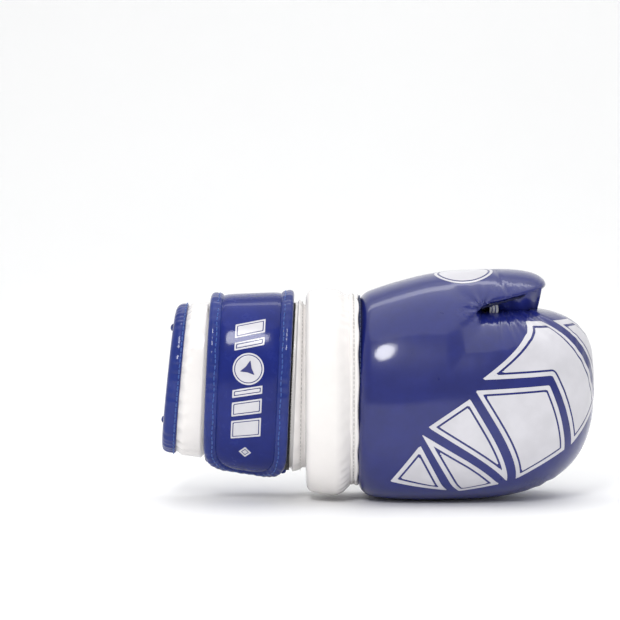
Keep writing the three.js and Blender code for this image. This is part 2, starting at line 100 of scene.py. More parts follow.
# each body along X: where it is widest, and how far it reaches behind and in front of there
FIST = (70, 90, FIST_LENGTH - 70)
HAND = (40, 80, FIST_LENGTH - 72)
THUMB = (60, 90, THUMB_REACH - 54)
THUMB_ENDS = (60, 90, THUMB_REACH - 53)
TROUGH = (60, 78, THUMB_REACH - 71)
FIST_POWER = 2.5  # how square a section is: 2 gives an ellipse
THUMB_POWER = 2.1
FIST_FRONT = 2.4  # the same for the fist's front, seen along Z

ORIGIN = Vector(
    (
        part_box("cuff_binding")[0].x * 1000 + 0.16,
        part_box("cuff_cover")[0].y * 1000 - CUFF_MID_Y + CUFF_HALF_DEPTH[1],
        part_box("back_side_panel")[0].z * 1000,
    )
)
STEP = 1.4  # spacing of the grid that the padded shapes are found on


def place(points):
    """Points of the hand's axes, in millimetres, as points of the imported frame, in metres."""
    return (np.asarray(points, float) + np.array(ORIGIN)) / 1000


def spot(x, y, z):
    return tuple(place([[x, y, z]])[0])


# ---------------------------------------------------------------- arithmetic


def lerp(a, b, t):
    return a + (b - a) * t


def smoothstep(x, low, high):
    t = np.clip((x - low) / (high - low), 0, 1)
    return t * t * (3 - 2 * t)


def closing(s, roundness):
    """How far a rounded end has closed at s: 1 in the middle, 0 at 1 and -1."""
    return (1 - np.minimum(1, np.abs(s)) ** roundness) ** (1 / roundness)


def signed_power(value, exponent):
    return np.sign(value) * np.abs(value) ** exponent


def unit(vectors):
    return vectors / np.linalg.norm(vectors, axis=-1, keepdims=True)


def soft_min(a, b, reach):
    h = np.maximum(reach - np.abs(a - b), 0) / reach
    return np.minimum(a, b) - h * h * reach / 4


def soft_max(a, b, reach):
    return -soft_min(-a, -b, reach)


def run_of(path):
    """The distance covered along a path at each of its points."""
    return np.concatenate([[0], np.cumsum(np.linalg.norm(np.diff(path, axis=0), axis=1))])


def at_run(path, run, at):
    """What the path's values are at some distances along it."""
    return np.stack([np.interp(at, run, path[:, k]) for k in range(3)], -1)


def unit_grid(rows, columns):
    """0 to 1 down the rows and 0 to 1 along the columns."""
    return np.linspace(0, 1, rows)[:, None], np.linspace(0, 1, columns)[None]


def ripple(points, waves):
    """A smooth wandering value from a few (direction, wavelength, phase) waves."""
    total = 0
    for direction, length, phase in waves:
        total = total + np.sin(points @ np.array(direction) * (2 * math.pi / length) + phase)
    return total / len(waves)


# ---------------------------------------------------------------- the padded body as a field


def rounded_body(middle, rear, front, section_power, section, points, blunt=1.0):
    """Below zero inside a body along X whose sections section(s, x) gives; blunt holds its ends open."""
    x = points[:, 0] - FIST_START
    s = np.where(x < middle, (x - middle) / rear, (x - middle) / front)
    mid_y, mid_z, back, palm, height = section(np.clip(s, -blunt, blunt), x)
    dy = points[:, 1] - mid_y
    depth = np.maximum(np.where(dy < 0, back, palm), 0.2)
    across = np.abs(dy) / depth
    up = np.abs(points[:, 2] - mid_z) / np.maximum(height, 0.2)
    inside = np.log(np.maximum(across**section_power + up**section_power, 1e-6)) / section_power
    return inside if blunt < 1 else np.maximum(inside, (np.abs(s) - 1) * 3)


def past_ends(middle, rear, front, points):
    """How far each point is past the nearer end of a body along X."""
    x = points[:, 0] - FIST_START - middle
    return np.maximum(x - front, -x - rear)


def fist_middle(x):
    return FIST_MID_Z + 13 * (np.maximum(0, x) / FIST_LENGTH) ** 3


def fist_section(s, x):
    tall = np.where(s < 0, closing(s, 4), closing(s, 3))
    deep = np.where(s < 0, closing(s, 4), closing(s, FIST_FRONT))
    return 0, fist_middle(x), FIST_BACK * deep, FIST_PALM * deep, FIST_HALF_HEIGHT * tall


def hand_section(s, x):
    close = closing(s, 3)
    room = 18 * (1 - smoothstep(x, KNUCKLE_BEND, FINGER_EDGE))
    return -2, fist_middle(x), 26 * close, (26 + room) * close, 44 * close


def thumb_middle(x):
    behind = (THUMB[0] - x + np.hypot(THUMB[0] - x, 16)) / 2
    return 12 - 0.12 * behind, FIST_TOP - 16 - 0.2 * behind


def thumb_section(s, x):
    close = np.where(s < 0, closing(s, 2.5), closing(s, 6))
    y, z = thumb_middle(x)
    return y, z, THUMB_HALF_DEPTH * close, THUMB_HALF_DEPTH * close, THUMB_HALF_HEIGHT * close


def trough_section(s, x):
    close = closing(s, 4)
    y, z = thumb_middle(x)
    return y + 8, z + 2, 36 * close, 36 * close, 32 * close


def fist_body(points):
    return rounded_body(*FIST, FIST_POWER, fist_section, points)


def hand_sides(points):
    return rounded_body(*HAND, 3, hand_section, points, 0.95)


def thumb_sides(points):
    return rounded_body(*THUMB, THUMB_POWER, thumb_section, points, 0.97)


def trough_sides(points):
    return rounded_body(*TROUGH, THUMB_POWER, trough_section, points, 0.95)


def slope(field, points, reach=0.4):
    """The field's gradient at each point."""
    made = np.empty_like(points)
    for axis in range(3):
        step = np.zeros(3)
        step[axis] = reach
        made[:, axis] = (field(points + step) - field(points - step)) / (2 * reach)
    return made


def distance(body, points):
    """About how far each point is outside the body, in millimetres."""
    steep = np.linalg.norm(slope(body, points), axis=1)
    return np.clip(body(points) / np.maximum(steep, 0.004), -40, 40)


def thumb_form(points):
    """The thumb's outer form, before the fork and its room are cut."""
    return soft_max(distance(thumb_sides, points), past_ends(*THUMB_ENDS, points), 6)


def hand_room(points):
    """The room for the hand, which widens towards the palm behind the knuckles, so its wall thins."""
    x = points[:, 0] - FIST_START
    flare = 8 * smoothstep(points[:, 1], 0, PALM_EDGE + 4) * (1 - smoothstep(x, 60, 80))
    sides = distance(hand_sides, points) - flare
    return soft_max(sides, past_ends(*HAND, points), 16)


def thumb_room(points):
    sides = distance(trough_sides, points) - 4 * smoothstep(points[:, 1], 0, PALM_EDGE + 4)
    return soft_max(sides, past_ends(*TROUGH, points), 10)


def palm_opening(points):
    """Below zero where the palm is open, up to the finger pad's free edge."""
    x = points[:, 0] - FIST_START
    return soft_max(PALM_EDGE - points[:, 1], x - FINGER_EDGE - 2, 22)


def fork(points):
    """Below zero under the thumb's lower edge, in front of the fork."""
    x = points[:, 0] - FIST_START
    edge = FORK_Z + FORK_RISE * (x - CROTCH)
    return soft_max(CROTCH - 7 - x, (points[:, 2] - edge) / math.hypot(1, FORK_RISE), 6)


def fillet(points):
    """How softly the thumb runs into the fist: a broad sweep at the wrist, a seam past the web."""
    return lerp(26, 5, smoothstep(points[:, 0] - FIST_START, 56, 82))


def outside(points):
    """The outer form of fist and thumb, before the rooms and the palm are opened."""
    thumb = soft_max(thumb_form(points), -fork(points), 4)
    return soft_min(distance(fist_body, points), thumb, fillet(points))


def rooms(points):
    """The rooms for the hand and the thumb; over the fingers only the hand's counts."""
    x = points[:, 0] - FIST_START
    fingers = 30 * smoothstep(x, 60, 76) * (1 - smoothstep(points[:, 2], 106, 118))
    return soft_min(hand_room(points), thumb_room(points) + fingers, 4)


TENSION = (
    ((0.7, 0.3, 0.65), 61, 0.4),
    ((-0.5, 0.4, 0.77), 43, 2.1),
    ((0.9, -0.2, -0.4), 37, 4.0),
    ((0.2, 0.6, -0.77), 29, 1.2),
)
FAN = np.array([FIST_START + 90.0, -26.0, 136.0])  # where the puckers below the web spread from
FORK_END = np.array([FIST_START + 81.0, -26.0, 126.5])
KNUCKLES = np.array([FIST_START + 146.0, -20.0, 92.0])
HEEL_PUCKER = np.array([FIST_START + 121.0, -18.0, 7.0])


def wrinkles(points):
    """How far the skin stands out, from its tension and its puckers."""
    x = points[:, 0] - FIST_START
    z = points[:, 2]
    fan = np.arctan2(points[:, 0] - FAN[0], np.maximum(FAN[2] - z, 4))
    drawn = np.sin(23 * fan + 1.6 * np.sin(6 * fan)) + 0.5 * np.sin(41 * fan + 1)
    under = smoothstep(z, 100, 118) * (1 - smoothstep(z, 123, 128))
    under = under * smoothstep(x, 84, 94) * (1 - smoothstep(x, 122, 140))
    seam = 0.42 * under * (points[:, 1] < 5) * drawn
    line = x - 93.1 - 0.465 * (144.4 - z)
    crease = -0.55 * np.exp(-((line / 1.5) ** 2)) * smoothstep(z, 131, 137) * (points[:, 1] < 8)

    away = points - FORK_END
    turn = np.arctan2(away[:, 2], away[:, 0])
    far = np.linalg.norm(away, axis=1)
    star = 0.9 * np.sin(9 * turn + 0.8) * np.exp(-far / 7) * smoothstep(far, 1, 5)

    front = np.exp(-((np.linalg.norm((points - KNUCKLES) * (1, 0.7, 0.55), axis=1) / 20) ** 2))
    bent = points + 1.6 * np.sin(points[:, [2, 0, 1]] / 7.0)
    fine = ripple(bent, (((0.95, 0.2, -0.25), 6.1, 0.0), ((0.8, 0.1, -0.6), 9.2, 2.0)))
    heel = np.exp(-((np.linalg.norm(points - HEEL_PUCKER, axis=1) / 12) ** 2))
    folds = ripple(bent, (((0.8, 0.3, 0.5), 8.5, 0.5), ((0.9, -0.4, 0.1), 11.3, 1.0)))
    return 0.3 * ripple(points, TENSION) + seam + crease + star + 0.2 * front * fine + 0.45 * heel * folds


def pad(points):
    """The whole padded body: fist and thumb with their rooms and the open palm."""
    x = points[:, 0] - FIST_START
    hand = hand_room(points)
    trough = thumb_room(points)
    fist = soft_max(distance(fist_body, points), -hand, 4)
    fist = soft_max(fist, -soft_max(trough, x - CROTCH, 6), 4)
    fist = soft_max(fist, -palm_opening(points), lerp(9, 22, smoothstep(x, 55, 80)))

    thumb = soft_max(thumb_form(points), -fork(points), 4)
    thumb = soft_max(thumb, -trough, 4)
    thumb = soft_max(thumb, -hand, 4)
    rim = PALM_EDGE + THUMB_RIM_RISE * smoothstep(x, 30, THUMB_REACH)
    thumb = soft_max(thumb, points[:, 1] - rim, 8)

    body = soft_min(fist, thumb, fillet(points))
    body = soft_max(body, -hand, 3)
    body = soft_max(body, -soft_max(trough, x - CROTCH, 6), 3)
    body = soft_max(body, 0.4 - x, 9)
    body = soft_max(body, 0.1 - points[:, 2], 3)
    return body - wrinkles(points) * smoothstep(points[:, 2], 0.5, 6)


# ---------------------------------------------------------------- meshes from fields


def surface_nets(values, low, step):
    """(vertices, quads) of the surface where values cross zero, one vertex for each cell it cuts."""
    cells = tuple(n - 1 for n in values.shape)
    total = np.zeros((*cells, 3))
    count = np.zeros(cells)
    for axis in range(3):
        one, two = (a for a in range(3) if a != axis)
        for i in (0, 1):
            for j in (0, 1):
                start = np.zeros(3, int)
                start[one], start[two] = i, j
                end = start.copy()
                end[axis] = 1
                a = values[tuple(slice(s, s + c) for s, c in zip(start, cells))]
                b = values[tuple(slice(s, s + c) for s, c in zip(end, cells))]
                crossed = (a < 0) != (b < 0)
                share = np.where(crossed, a / np.where(crossed, a - b, 1), 0)
                total[..., one] += crossed * i
                total[..., two] += crossed * j
                total[..., axis] += share
                count += crossed
    cut = count > 0
    index = np.full(cells, -1)
    index[cut] = np.arange(cut.sum())
    verts = low + step * (np.argwhere(cut) + total[cut] / count[cut][:, None])
    quads = []
    for axis in range(3):
        one, two = (axis + 1) % 3, (axis + 2) % 3
        here = [slice(1, -1)] * 3
        here[axis] = slice(0, -1)
        there = list(here)
        there[axis] = slice(1, None)
        a, b = values[tuple(here)] < 0, values[tuple(there)] < 0
        for rising in (True, False):
            edges = np.argwhere((a & ~b) if rising else (~a & b)) + [axis != k for k in range(3)]
            corners = []
            for i, j in ((1, 1), (0, 1), (0, 0), (1, 0)):
                cell = edges.copy()
                cell[:, one] -= i
                cell[:, two] -= j
                corners.append(index[tuple(cell.T)])
            quad = np.stack(corners, 1)
            quads.append(quad if rising else quad[:, ::-1])
    return verts, np.concatenate(quads)


def grid_of(field, low, high, step):
    """The field's values on a grid between two corners."""
    axes = [np.arange(a, b + step, step) for a, b in zip(low, high)]
    points = np.stack(np.meshgrid(*axes, indexing="ij"), -1)
    shape = points.shape[:3]
    flat = points.reshape(-1, 3)
    values = np.concatenate([field(part) for part in np.array_split(flat, 24)])
    return values.reshape(shape)


def settle(verts, faces, field, rounds):
    """Evens out the vertices and puts them back on the field's surface."""
    edges = np.concatenate([faces[:, [i, (i + 1) % faces.shape[1]]] for i in range(faces.shape[1])])
    both = np.concatenate([edges, edges[:, ::-1]])
    share = np.bincount(both[:, 0], minlength=len(verts))[:, None]
    for _ in range(rounds):
        total = np.stack([np.bincount(both[:, 0], verts[both[:, 1], k], len(verts)) for k in range(3)], 1)
        verts = lerp(verts, total / share, 0.6)
        down = slope(field, verts)
        steep = np.maximum((down**2).sum(1), 0.05)[:, None]
        verts = verts - np.clip(field(verts)[:, None] * down / steep, -1, 1)
    return verts, unit(slope(field, verts))


def grid_quads(index):
    """The quads of a grid of vertex numbers."""
    return np.stack([index[:-1, :-1], index[1:, :-1], index[1:, 1:], index[:-1, 1:]], -1).reshape(-1, 4)


def triangles(quads):
    return np.concatenate([quads[:, [0, 1, 2]], quads[:, [0, 2, 3]]])


def compact(verts, faces, *values):
    """Only the vertices that the faces use, with the values that go with them."""
    used, inverse = np.unique(faces, return_inverse=True)
    return verts[used], inverse.reshape(faces.shape), *(v[used] for v in values)


def clipped(verts, tris, level, *values):
    """The part of a triangle mesh where level is above zero, cut exactly along its zero line."""
    keep = level > 0
    state = keep[tris].sum(1)
    cut = tris[(state == 1) | (state == 2)]
    kept = keep[cut]
    odd = np.where(kept.sum(1) == 1, kept.argmax(1), (~kept).argmax(1))
    cut = np.take_along_axis(cut, (odd[:, None] + np.arange(3)) % 3, 1)
    edges = np.sort(np.concatenate([cut[:, [0, 1]], cut[:, [0, 2]]]), 1)
    unique, inverse = np.unique(edges, axis=0, return_inverse=True)
    a, b = unique.T
    share = (level[a] / (level[a] - level[b]))[:, None]
    first, second = len(verts) + inverse.reshape(2, -1)
    alone = keep[cut[:, 0]]
    other = ~alone
    parts = [
        tris[state == 3],
        np.stack([cut[alone, 0], first[alone], second[alone]], 1),
        np.stack([first[other], cut[other, 1], cut[other, 2]], 1),
        np.stack([first[other], cut[other, 2], second[other]], 1),
    ]
    grown = []
    for v in (verts, *values):
        part = share if v.ndim == 2 else share[:, 0]
        grown.append(np.concatenate([v, lerp(v[a], v[b], part)]))
    return compact(grown[0], np.concatenate(parts), *grown[1:])


def rim_edges(tris):
    """The directed edges that only one triangle has."""
    edges = np.concatenate([tris[:, [0, 1]], tris[:, [1, 2]], tris[:, [2, 0]]])
    size = int(tris.max()) + 1
    there = edges[:, 0] * size + edges[:, 1]
    back = edges[:, 1] * size + edges[:, 0]
    return edges[~np.isin(there, back)]


def shell(verts, tris, normals, thickness, lift=0.0):
    """A closed shell under an open surface: lift raises its outside."""
    top = verts + normals * lift
    under = verts + normals * (lift - thickness)
    edges = rim_edges(tris)
    n = len(verts)
    walls = np.concatenate(
        [
            np.stack([edges[:, 1], edges[:, 0], edges[:, 0] + n], 1),
            np.stack([edges[:, 1], edges[:, 0] + n, edges[:, 1] + n], 1),
        ]
    )
    faces = np.concatenate([tris, tris[:, ::-1] + n, walls])
    return np.concatenate([top, under]), faces, np.concatenate([normals, -normals])


def loops(tris):
    """The rim of a triangle mesh as lists of vertex numbers, longest first."""
    following = {int(a): int(b) for a, b in rim_edges(tris)}
    found = []
    while following:
        start, here = following.popitem()
        loop = [start]
        while here != start and here in following:
            loop.append(here)
            here = following.pop(here)
        found.append(loop)
    return sorted(found, key=len, reverse=True)


# ---------------------------------------------------------------- objects


def add_object(name, verts, faces, material, normals=None, sharp=None):
    """A mesh object from points in millimetres of the hand's axes."""
    mesh = bpy.data.meshes.new(name)
    mesh.from_pydata(place(verts).tolist(), [], [list(map(int, f)) for f in faces])
    mesh.validate()
    made = bmesh.new()
    made.from_mesh(mesh)
    if normals is None:
        bmesh.ops.recalc_face_normals(made, faces=made.faces)
    for face in made.faces:
        face.smooth = True
    made.to_mesh(mesh)
    made.free()
    if normals is not None and len(normals) == len(mesh.vertices):
        mesh.normals_split_custom_set_from_vertices(normals.tolist())
    elif sharp is not None:
        mesh.set_sharp_from_angle(angle=math.radians(sharp))
    mesh.materials.append(material)
    piece = bpy.data.objects.new(name, mesh)
    bpy.context.scene.collection.objects.link(piece)
    return piece


def welded(verts, faces, near=1e-3):
    """The same mesh with coincident vertices merged and collapsed faces dropped."""
    keys = np.round(verts / near).astype(np.int64)
    _, first, inverse = np.unique(keys, axis=0, return_index=True, return_inverse=True)
    inverse = inverse.reshape(-1)
    clean = []
    for face in faces:
        corners = []
        for v in inverse[list(face)]:
            if v not in corners:
                corners.append(int(v))
        if len(corners) > 2:
            clean.append(corners)
    return verts[first], clean


def slab(top, bottom):
    """A closed body between two grids of points (rows, columns, 3)."""
    rows, columns = top.shape[:2]
    index = np.arange(rows * columns).reshape(rows, columns)
    upper = grid_quads(index)
    rim = np.concatenate([index[:, 0], index[-1, 1:], index[-2::-1, -1], index[0, -2:0:-1]])
    after = np.roll(rim, -1)
    walls = np.stack([after, rim, rim + index.size, after + index.size], 1)
    verts = np.concatenate([top.reshape(-1, 3), bottom.reshape(-1, 3)])
    return welded(verts, np.concatenate([upper, upper[:, ::-1] + index.size, walls]))


def loft(sections):
    """A closed body through closed sections (rows, sides, 3)."""
    rows, sides = sections.shape[:2]
    index = np.arange(rows * sides).reshape(rows, sides)
    around = np.roll(index, -1, 1)
    quads = np.stack([index[:-1], index[1:], around[1:], around[:-1]], -1).reshape(-1, 4)
    return sections.reshape(-1, 3), [*map(tuple, quads), tuple(index[0]), tuple(index[-1][::-1])]


def rounded_loop(corners, rounds=2):
    """A closed outline with its corners cut smooth."""
    corners = np.asarray(corners, float)
    for _ in range(rounds):
        ahead = np.roll(corners, -1, 0)
        cut = np.stack([lerp(corners, ahead, 0.25), lerp(corners, ahead, 0.75)], 1)
        corners = cut.reshape(-1, corners.shape[1])
    return corners


def inside_by(points, outline):
    """How far inside a 2-D outline each point is, below zero outside."""
    a = np.asarray(outline, float)
    edge = np.roll(a, -1, 0) - a
    away = points[:, None] - a
    share = np.clip((away * edge).sum(-1) / (edge**2).sum(-1), 0, 1)
    gap = np.linalg.norm(away - share[..., None] * edge, axis=-1).min(1)
    steep = np.where(np.abs(edge[:, 1]) < 1e-9, 1e-9, edge[:, 1])
    crosses = (away[..., 1] < 0) != (away[..., 1] < edge[:, 1])
    left = away[..., 0] < away[..., 1] * edge[:, 0] / steep
    return np.where((crosses & left).sum(1) % 2 == 1, gap, -gap)


def tube(path, radius, sides=8, closed=False, up=(0.0, 0.0, 1.0)):
    """A round tube along a path, with rounded ends if it is open."""
    path = np.asarray(path, float)
    if closed:
        ahead = np.roll(path, -1, 0) - np.roll(path, 1, 0)
    else:
        ahead = np.gradient(path, axis=0)
    ahead /= np.maximum(np.linalg.norm(ahead, axis=1)[:, None], 1e-9)
    side = np.cross(ahead, up)
    side /= np.maximum(np.linalg.norm(side, axis=1)[:, None], 1e-9)
    rise = np.cross(side, ahead)
    size = np.full(len(path), float(radius))
    if not closed:
        before, after = path[:1] - ahead[:1] * radius * 0.6, path[-1:] + ahead[-1:] * radius * 0.6
        path = np.concatenate([before, path, after])
        side, rise = (np.concatenate([v[:1], v, v[-1:]]) for v in (side, rise))
        size = np.concatenate([[radius * 0.5], size, [radius * 0.5]])
    angles = np.arange(sides) * (2 * math.pi / sides)
    ring = np.cos(angles)[None, :, None] * side[:, None] + np.sin(angles)[None, :, None] * rise[:, None]
    verts = (path[:, None] + ring * size[:, None, None]).reshape(-1, 3)
    faces = []
    count = len(path)
    for i in range(count if closed else count - 1):
        for j in range(sides):
            k, m = (i + 1) % count, (j + 1) % sides
            faces.append((i * sides + j, k * sides + j, k * sides + m, i * sides + m))
    if not closed:
        faces.append(tuple(range(sides)))
        faces.append(tuple(range((count - 1) * sides, count * sides)))
    return verts, faces


def eased(path, rounds, pitch):
    """A closed path with its corners eased over some rounds and its points a pitch apart."""
    for _ in range(rounds):
        path = lerp(path, (np.roll(path, 1, 0) + np.roll(path, -1, 0)) / 2, 0.5)
    path = np.concatenate([path, path[:1]])
    run = run_of(path)
    return at_run(path, run, np.linspace(0, run[-1], int(run[-1] / pitch), endpoint=False))


def stitches(path, outward, pitch=3.6, dash=2.6, radius=0.4):
    """A row of stitches: short round dashes along a path, whose ends dip into the leather."""
    run = run_of(path)
    made = []
    for i in range(int(run[-1] // pitch)):
        share = np.linspace(-0.5, 0.5, 5)
        at = (i + 0.5) * pitch + share * dash
        line = at_run(path, run, at)
        up = at_run(outward, run, at[2])
        dip = 1.2 * radius * (2 * np.abs(share[:, None])) ** 3
        made.append(tube(line - up * dip, radius, 6, up=tuple(up)))
    return joined(*made)


def joined(*meshes):
    """Several (vertices, faces) as one."""
    verts, faces, count = [], [], 0
    for v, f in meshes:
        verts.append(np.asarray(v))
        faces.extend(tuple(int(k) + count for k in face) for face in f)
        count += len(v)
    return np.concatenate(verts), faces


# ---------------------------------------------------------------- materials


class Nodes:
    """A material's node tree, with short calls for the nodes used here."""

    def __init__(self, name):
        self.material = bpy.data.materials.new(name)
        self.material.use_nodes = True
        self.tree = self.material.node_tree
        self.shader = next(n for n in self.tree.nodes if n.type == "BSDF_PRINCIPLED")

    def add(self, kind, inputs=None, **settings):
        node = self.tree.nodes.new(kind)
        for key, value in settings.items():
            setattr(node, key, value)
        for key, value in (inputs or {}).items():
            if isinstance(value, bpy.types.NodeSocket):
                self.tree.links.new(value, node.inputs[key])
            else:
                node.inputs[key].default_value = value
        return node

    def math(self, operation, a, b=0.0, c=0.0):
        return self.add("ShaderNodeMath", {0: a, 1: b, 2: c}, operation=operation).outputs[0]

    def mix(self, factor, a, b):
        node = self.add("ShaderNodeMix", {0: factor, 6: a, 7: b}, data_type="RGBA")
        return node.outputs[2]

    def sum(self, a, share, b, other):
        """Two values added, each times its own share."""
        return self.math("ADD", self.math("MULTIPLY", a, share), self.math("MULTIPLY", b, other))

    def vector(self, operation, a, b):
        return self.add("ShaderNodeVectorMath", {0: a, 1: b}, operation=operation).outputs[0]

    def axes(self, where):
        return self.add("ShaderNodeSeparateXYZ", {0: where}).outputs

    def noise(self, where, scale, detail=3.0, rough=0.5):
        inputs = {"Vector": where, "Scale": scale, "Detail": detail, "Roughness": rough}
        return self.add("ShaderNodeTexNoise", inputs).outputs["Fac"]

    def where(self):
        return self.add("ShaderNodeTexCoord").outputs["Object"]

    def ramp(self, value, low, high):
        inputs = {"Value": value, "From Min": low, "From Max": high}
        return self.add("ShaderNodeMapRange", inputs, interpolation_type="SMOOTHSTEP").outputs[0]

    def shade(self, value, low, high, deep, colour):
        """The colour, deepening where the value falls from high to low."""
        if isinstance(deep, float):
            deep = tuple(c * deep for c in colour)
        return self.mix(self.ramp(value, low, high), (*deep, 1), (*colour, 1))

    def bump(self, height, strength, distance, normal=None):
        inputs = {"Height": height, "Strength": strength, "Distance": distance}
        if normal is not None:
            inputs["Normal"] = normal
        return self.add("ShaderNodeBump", inputs).outputs[0]

    def set(self, **inputs):
        for key, value in inputs.items():
            socket = self.shader.inputs[key.replace("_", " ")]
            if isinstance(value, bpy.types.NodeSocket):
                self.tree.links.new(value, socket)
            else:
                socket.default_value = value
        return self.material


def coated_leather(name, colour, deep, roughness=0.3, coat=0.7, gloss=0.22, gathers=()):
    """Glossy coated synthetic leather: pores, faint creases, and fine gathers round some seams."""
    n = Nodes(name)
    where = n.where()
    cloud = n.noise(where, 18.0, 3.0)
    creases = n.noise(where, 140.0, 4.0, 0.6)
    pores = n.add("ShaderNodeTexVoronoi", {"Vector": where, "Scale": 1500.0}).outputs["Distance"]
    base = n.shade(n.sum(cloud, 0.6, creases, 0.4), 0.3, 0.72, deep, colour)
    rough = n.math("MULTIPLY_ADD", creases, 0.12, roughness - 0.06)
    relief = n.bump(pores, 0.05, 0.0002)
    relief = n.bump(creases, 0.05, 0.0008, relief)
    for centre, size, scale, strength in gathers:
        away = n.vector("DIVIDE", n.vector("SUBTRACT", where, centre), size)
        far = n.add("ShaderNodeVectorMath", {0: away}, operation="LENGTH").outputs["Value"]
        near = n.math("SUBTRACT", 1.0, n.ramp(far, 0.25, 1.0))
        lines = n.noise(n.vector("MULTIPLY", where, scale), 1.0, 3.0, 0.6)
        relief = n.bump(n.math("MULTIPLY", lines, near), strength, 0.0016, relief)
    return n.set(
        Base_Color=base, Roughness=rough, Normal=relief, Coat_Weight=coat, Coat_Roughness=0.05,
        Specular_IOR_Level=gloss, Coat_Normal=relief,
    )


def spacer_mesh(name):
    """Black spacer mesh: rows of small light knots over a fine dark knit."""
    n = Nodes(name)
    where = n.where()
    axes = n.axes(where)
    facing = n.axes(n.add("ShaderNodeTexCoord").outputs["Normal"])
    steep = [n.math("POWER", n.math("ABSOLUTE", facing[k]), 8.0) for k in range(3)]
    total = n.math("ADD", n.math("ADD", steep[0], steep[1]), n.math("ADD", steep[2], 1e-4))
    pitch = 0.0030
    row_pitch = pitch * 0.8660  # rows of knots set like the cells of a comb

    def knots(a, b):
        rows = n.math("DIVIDE", b, row_pitch)
        row = n.math("FLOOR", rows)
        shift = n.math("MULTIPLY", n.math("PINGPONG", row, 1.0), 0.5)
        across = n.math("FRACT", n.math("ADD", n.math("DIVIDE", a, pitch), shift))
        up = n.math("FRACT", rows)
        flat = n.math("POWER", n.math("SUBTRACT", across, 0.5), 2.0)
        tall = n.math("POWER", n.math("SUBTRACT", up, 0.5), 2.0)
        return n.math("SQRT", n.math("ADD", flat, tall))

    near = None
    for k, (a, b) in enumerate(((1, 2), (0, 2), (0, 1))):
        part = n.math("MULTIPLY", n.math("DIVIDE", steep[k], total), knots(axes[a], axes[b]))
        near = part if near is None else n.math("ADD", near, part)
    dot = n.math("SUBTRACT", 1.0, n.ramp(near, 0.13, 0.24))
    fibre = n.noise(where, 900.0, 2.0)
    lit = n.math("MULTIPLY", dot, n.ramp(n.noise(where, 55.0, 2.0), 0.25, 0.7))
    base = n.mix(lit, (0.006, 0.006, 0.007, 1), (0.17, 0.18, 0.18, 1))
    height = n.sum(near, 1.4, fibre, 0.4)
    return n.set(
        Base_Color=base, Roughness=0.85, Normal=n.bump(height, 0.7, 0.0006), Sheen_Weight=0.25,
        Specular_IOR_Level=0.3,
    )


def knit(name, colour, scale=1100.0):
    """A fine matt knit, as over neoprene or on a woven label."""
    n = Nodes(name)
    where = n.where()
    axes = n.axes(where)
    courses = n.math("SINE", n.math("MULTIPLY", axes[0], scale * 6.0))
    wales = n.math("SINE", n.math("MULTIPLY", axes[2], scale * 5.0))
    weave = n.math("MULTIPLY", courses, wales)
    fuzz = n.noise(where, scale, 3.0)
    cloud = n.noise(where, 25.0, 2.0)
    base = n.shade(n.sum(cloud, 0.6, fuzz, 0.4), 0.3, 0.7, 0.62, colour)
    height = n.math("ADD", n.math("MULTIPLY", weave, 0.4), fuzz)
    return n.set(
        Base_Color=base, Roughness=0.82, Normal=n.bump(height, 0.45, 0.0003), Sheen_Weight=0.35,
        Specular_IOR_Level=0.3,
    )


def pile(name, colour, scale):
    """Loop pile or hooks: a dense, rough, dark nap."""
    n = Nodes(name)
    where = n.where()
    nap = n.noise(where, scale, 5.0, 0.7)
    base = n.shade(nap, 0.35, 0.7, 0.4, colour)
    return n.set(Base_Color=base, Roughness=0.95, Normal=n.bump(nap, 0.9, 0.0008), Sheen_Weight=0.4)


def thread(name, colour):
    """Twisted sewing thread."""
    n = Nodes(name)
    where = n.where()
    axes = n.axes(where)
    sum_of = n.math("ADD", n.math("ADD", axes[0], axes[1]), axes[2])
    twist = n.math("SINE", n.math("MULTIPLY", sum_of, 9000.0))
    base = n.shade(twist, -1.0, 1.0, 0.55, colour)
    return n.set(Base_Color=base, Roughness=0.55, Normal=n.bump(twist, 0.5, 0.0002), Sheen_Weight=0.2)


def ink(name, colour):
    """A printed film, smooth but slightly uneven."""
    n = Nodes(name)
    where = n.where()
    cloud = n.noise(where, 60.0, 4.0)
    base = n.shade(cloud, 0.3, 0.7, 0.9, colour)
    rough = n.math("MULTIPLY_ADD", cloud, 0.1, 0.27)
    return n.set(
        Base_Color=base, Roughness=rough, Normal=n.bump(cloud, 0.04, 0.0005), Coat_Weight=0.35,
        Coat_Roughness=0.12,
    )


GATHERS = (  # (centre, size, waves for each metre along the axes, strength)
    (spot(FIST_START + 104, -22, 116), (0.027, 0.040, 0.015), (260.0, 60.0, 50.0), 0.45),
    (spot(FIST_START + 100, -26, 137), (0.024, 0.030, 0.010), (420.0, 100.0, 110.0), 0.45),
    (spot(FIST_START + 74, -40, 127), (0.016, 0.030, 0.013), (260.0, 120.0, 300.0), 0.55),
    (spot(FIST_START + 140, -24, 100), (0.020, 0.045, 0.032), (460.0, 120.0, 130.0), 0.4),
    (spot(FIST_START + 118, -24, 8), (0.026, 0.040, 0.014), (430.0, 120.0, 150.0), 0.5),
)
BLUE = coated_leather("coated_blue", (0.0115, 0.0180, 0.160), (0.0085, 0.0130, 0.115), gathers=GATHERS)
STRAP_BLUE = coated_leather(
    "coated_strap_blue", (0.0095, 0.0200, 0.185), (0.0070, 0.0140, 0.130), 0.26, 0.36, 0.08
)
EDGE_BLUE = coated_leather(
    "coated_binding_blue", (0.0150, 0.0320, 0.205), (0.0105, 0.0220, 0.150), 0.32, 0.42, 0.12
)
NAVY = coated_leather("seam_navy", (0.0040, 0.0065, 0.045), (0.0025, 0.0040, 0.028), 0.4, 0.1)
WHITE = coated_leather("coated_white", (0.83, 0.80, 0.78), (0.80, 0.772, 0.752), 0.25, 0.45)
MESH = spacer_mesh("black_spacer_mesh")
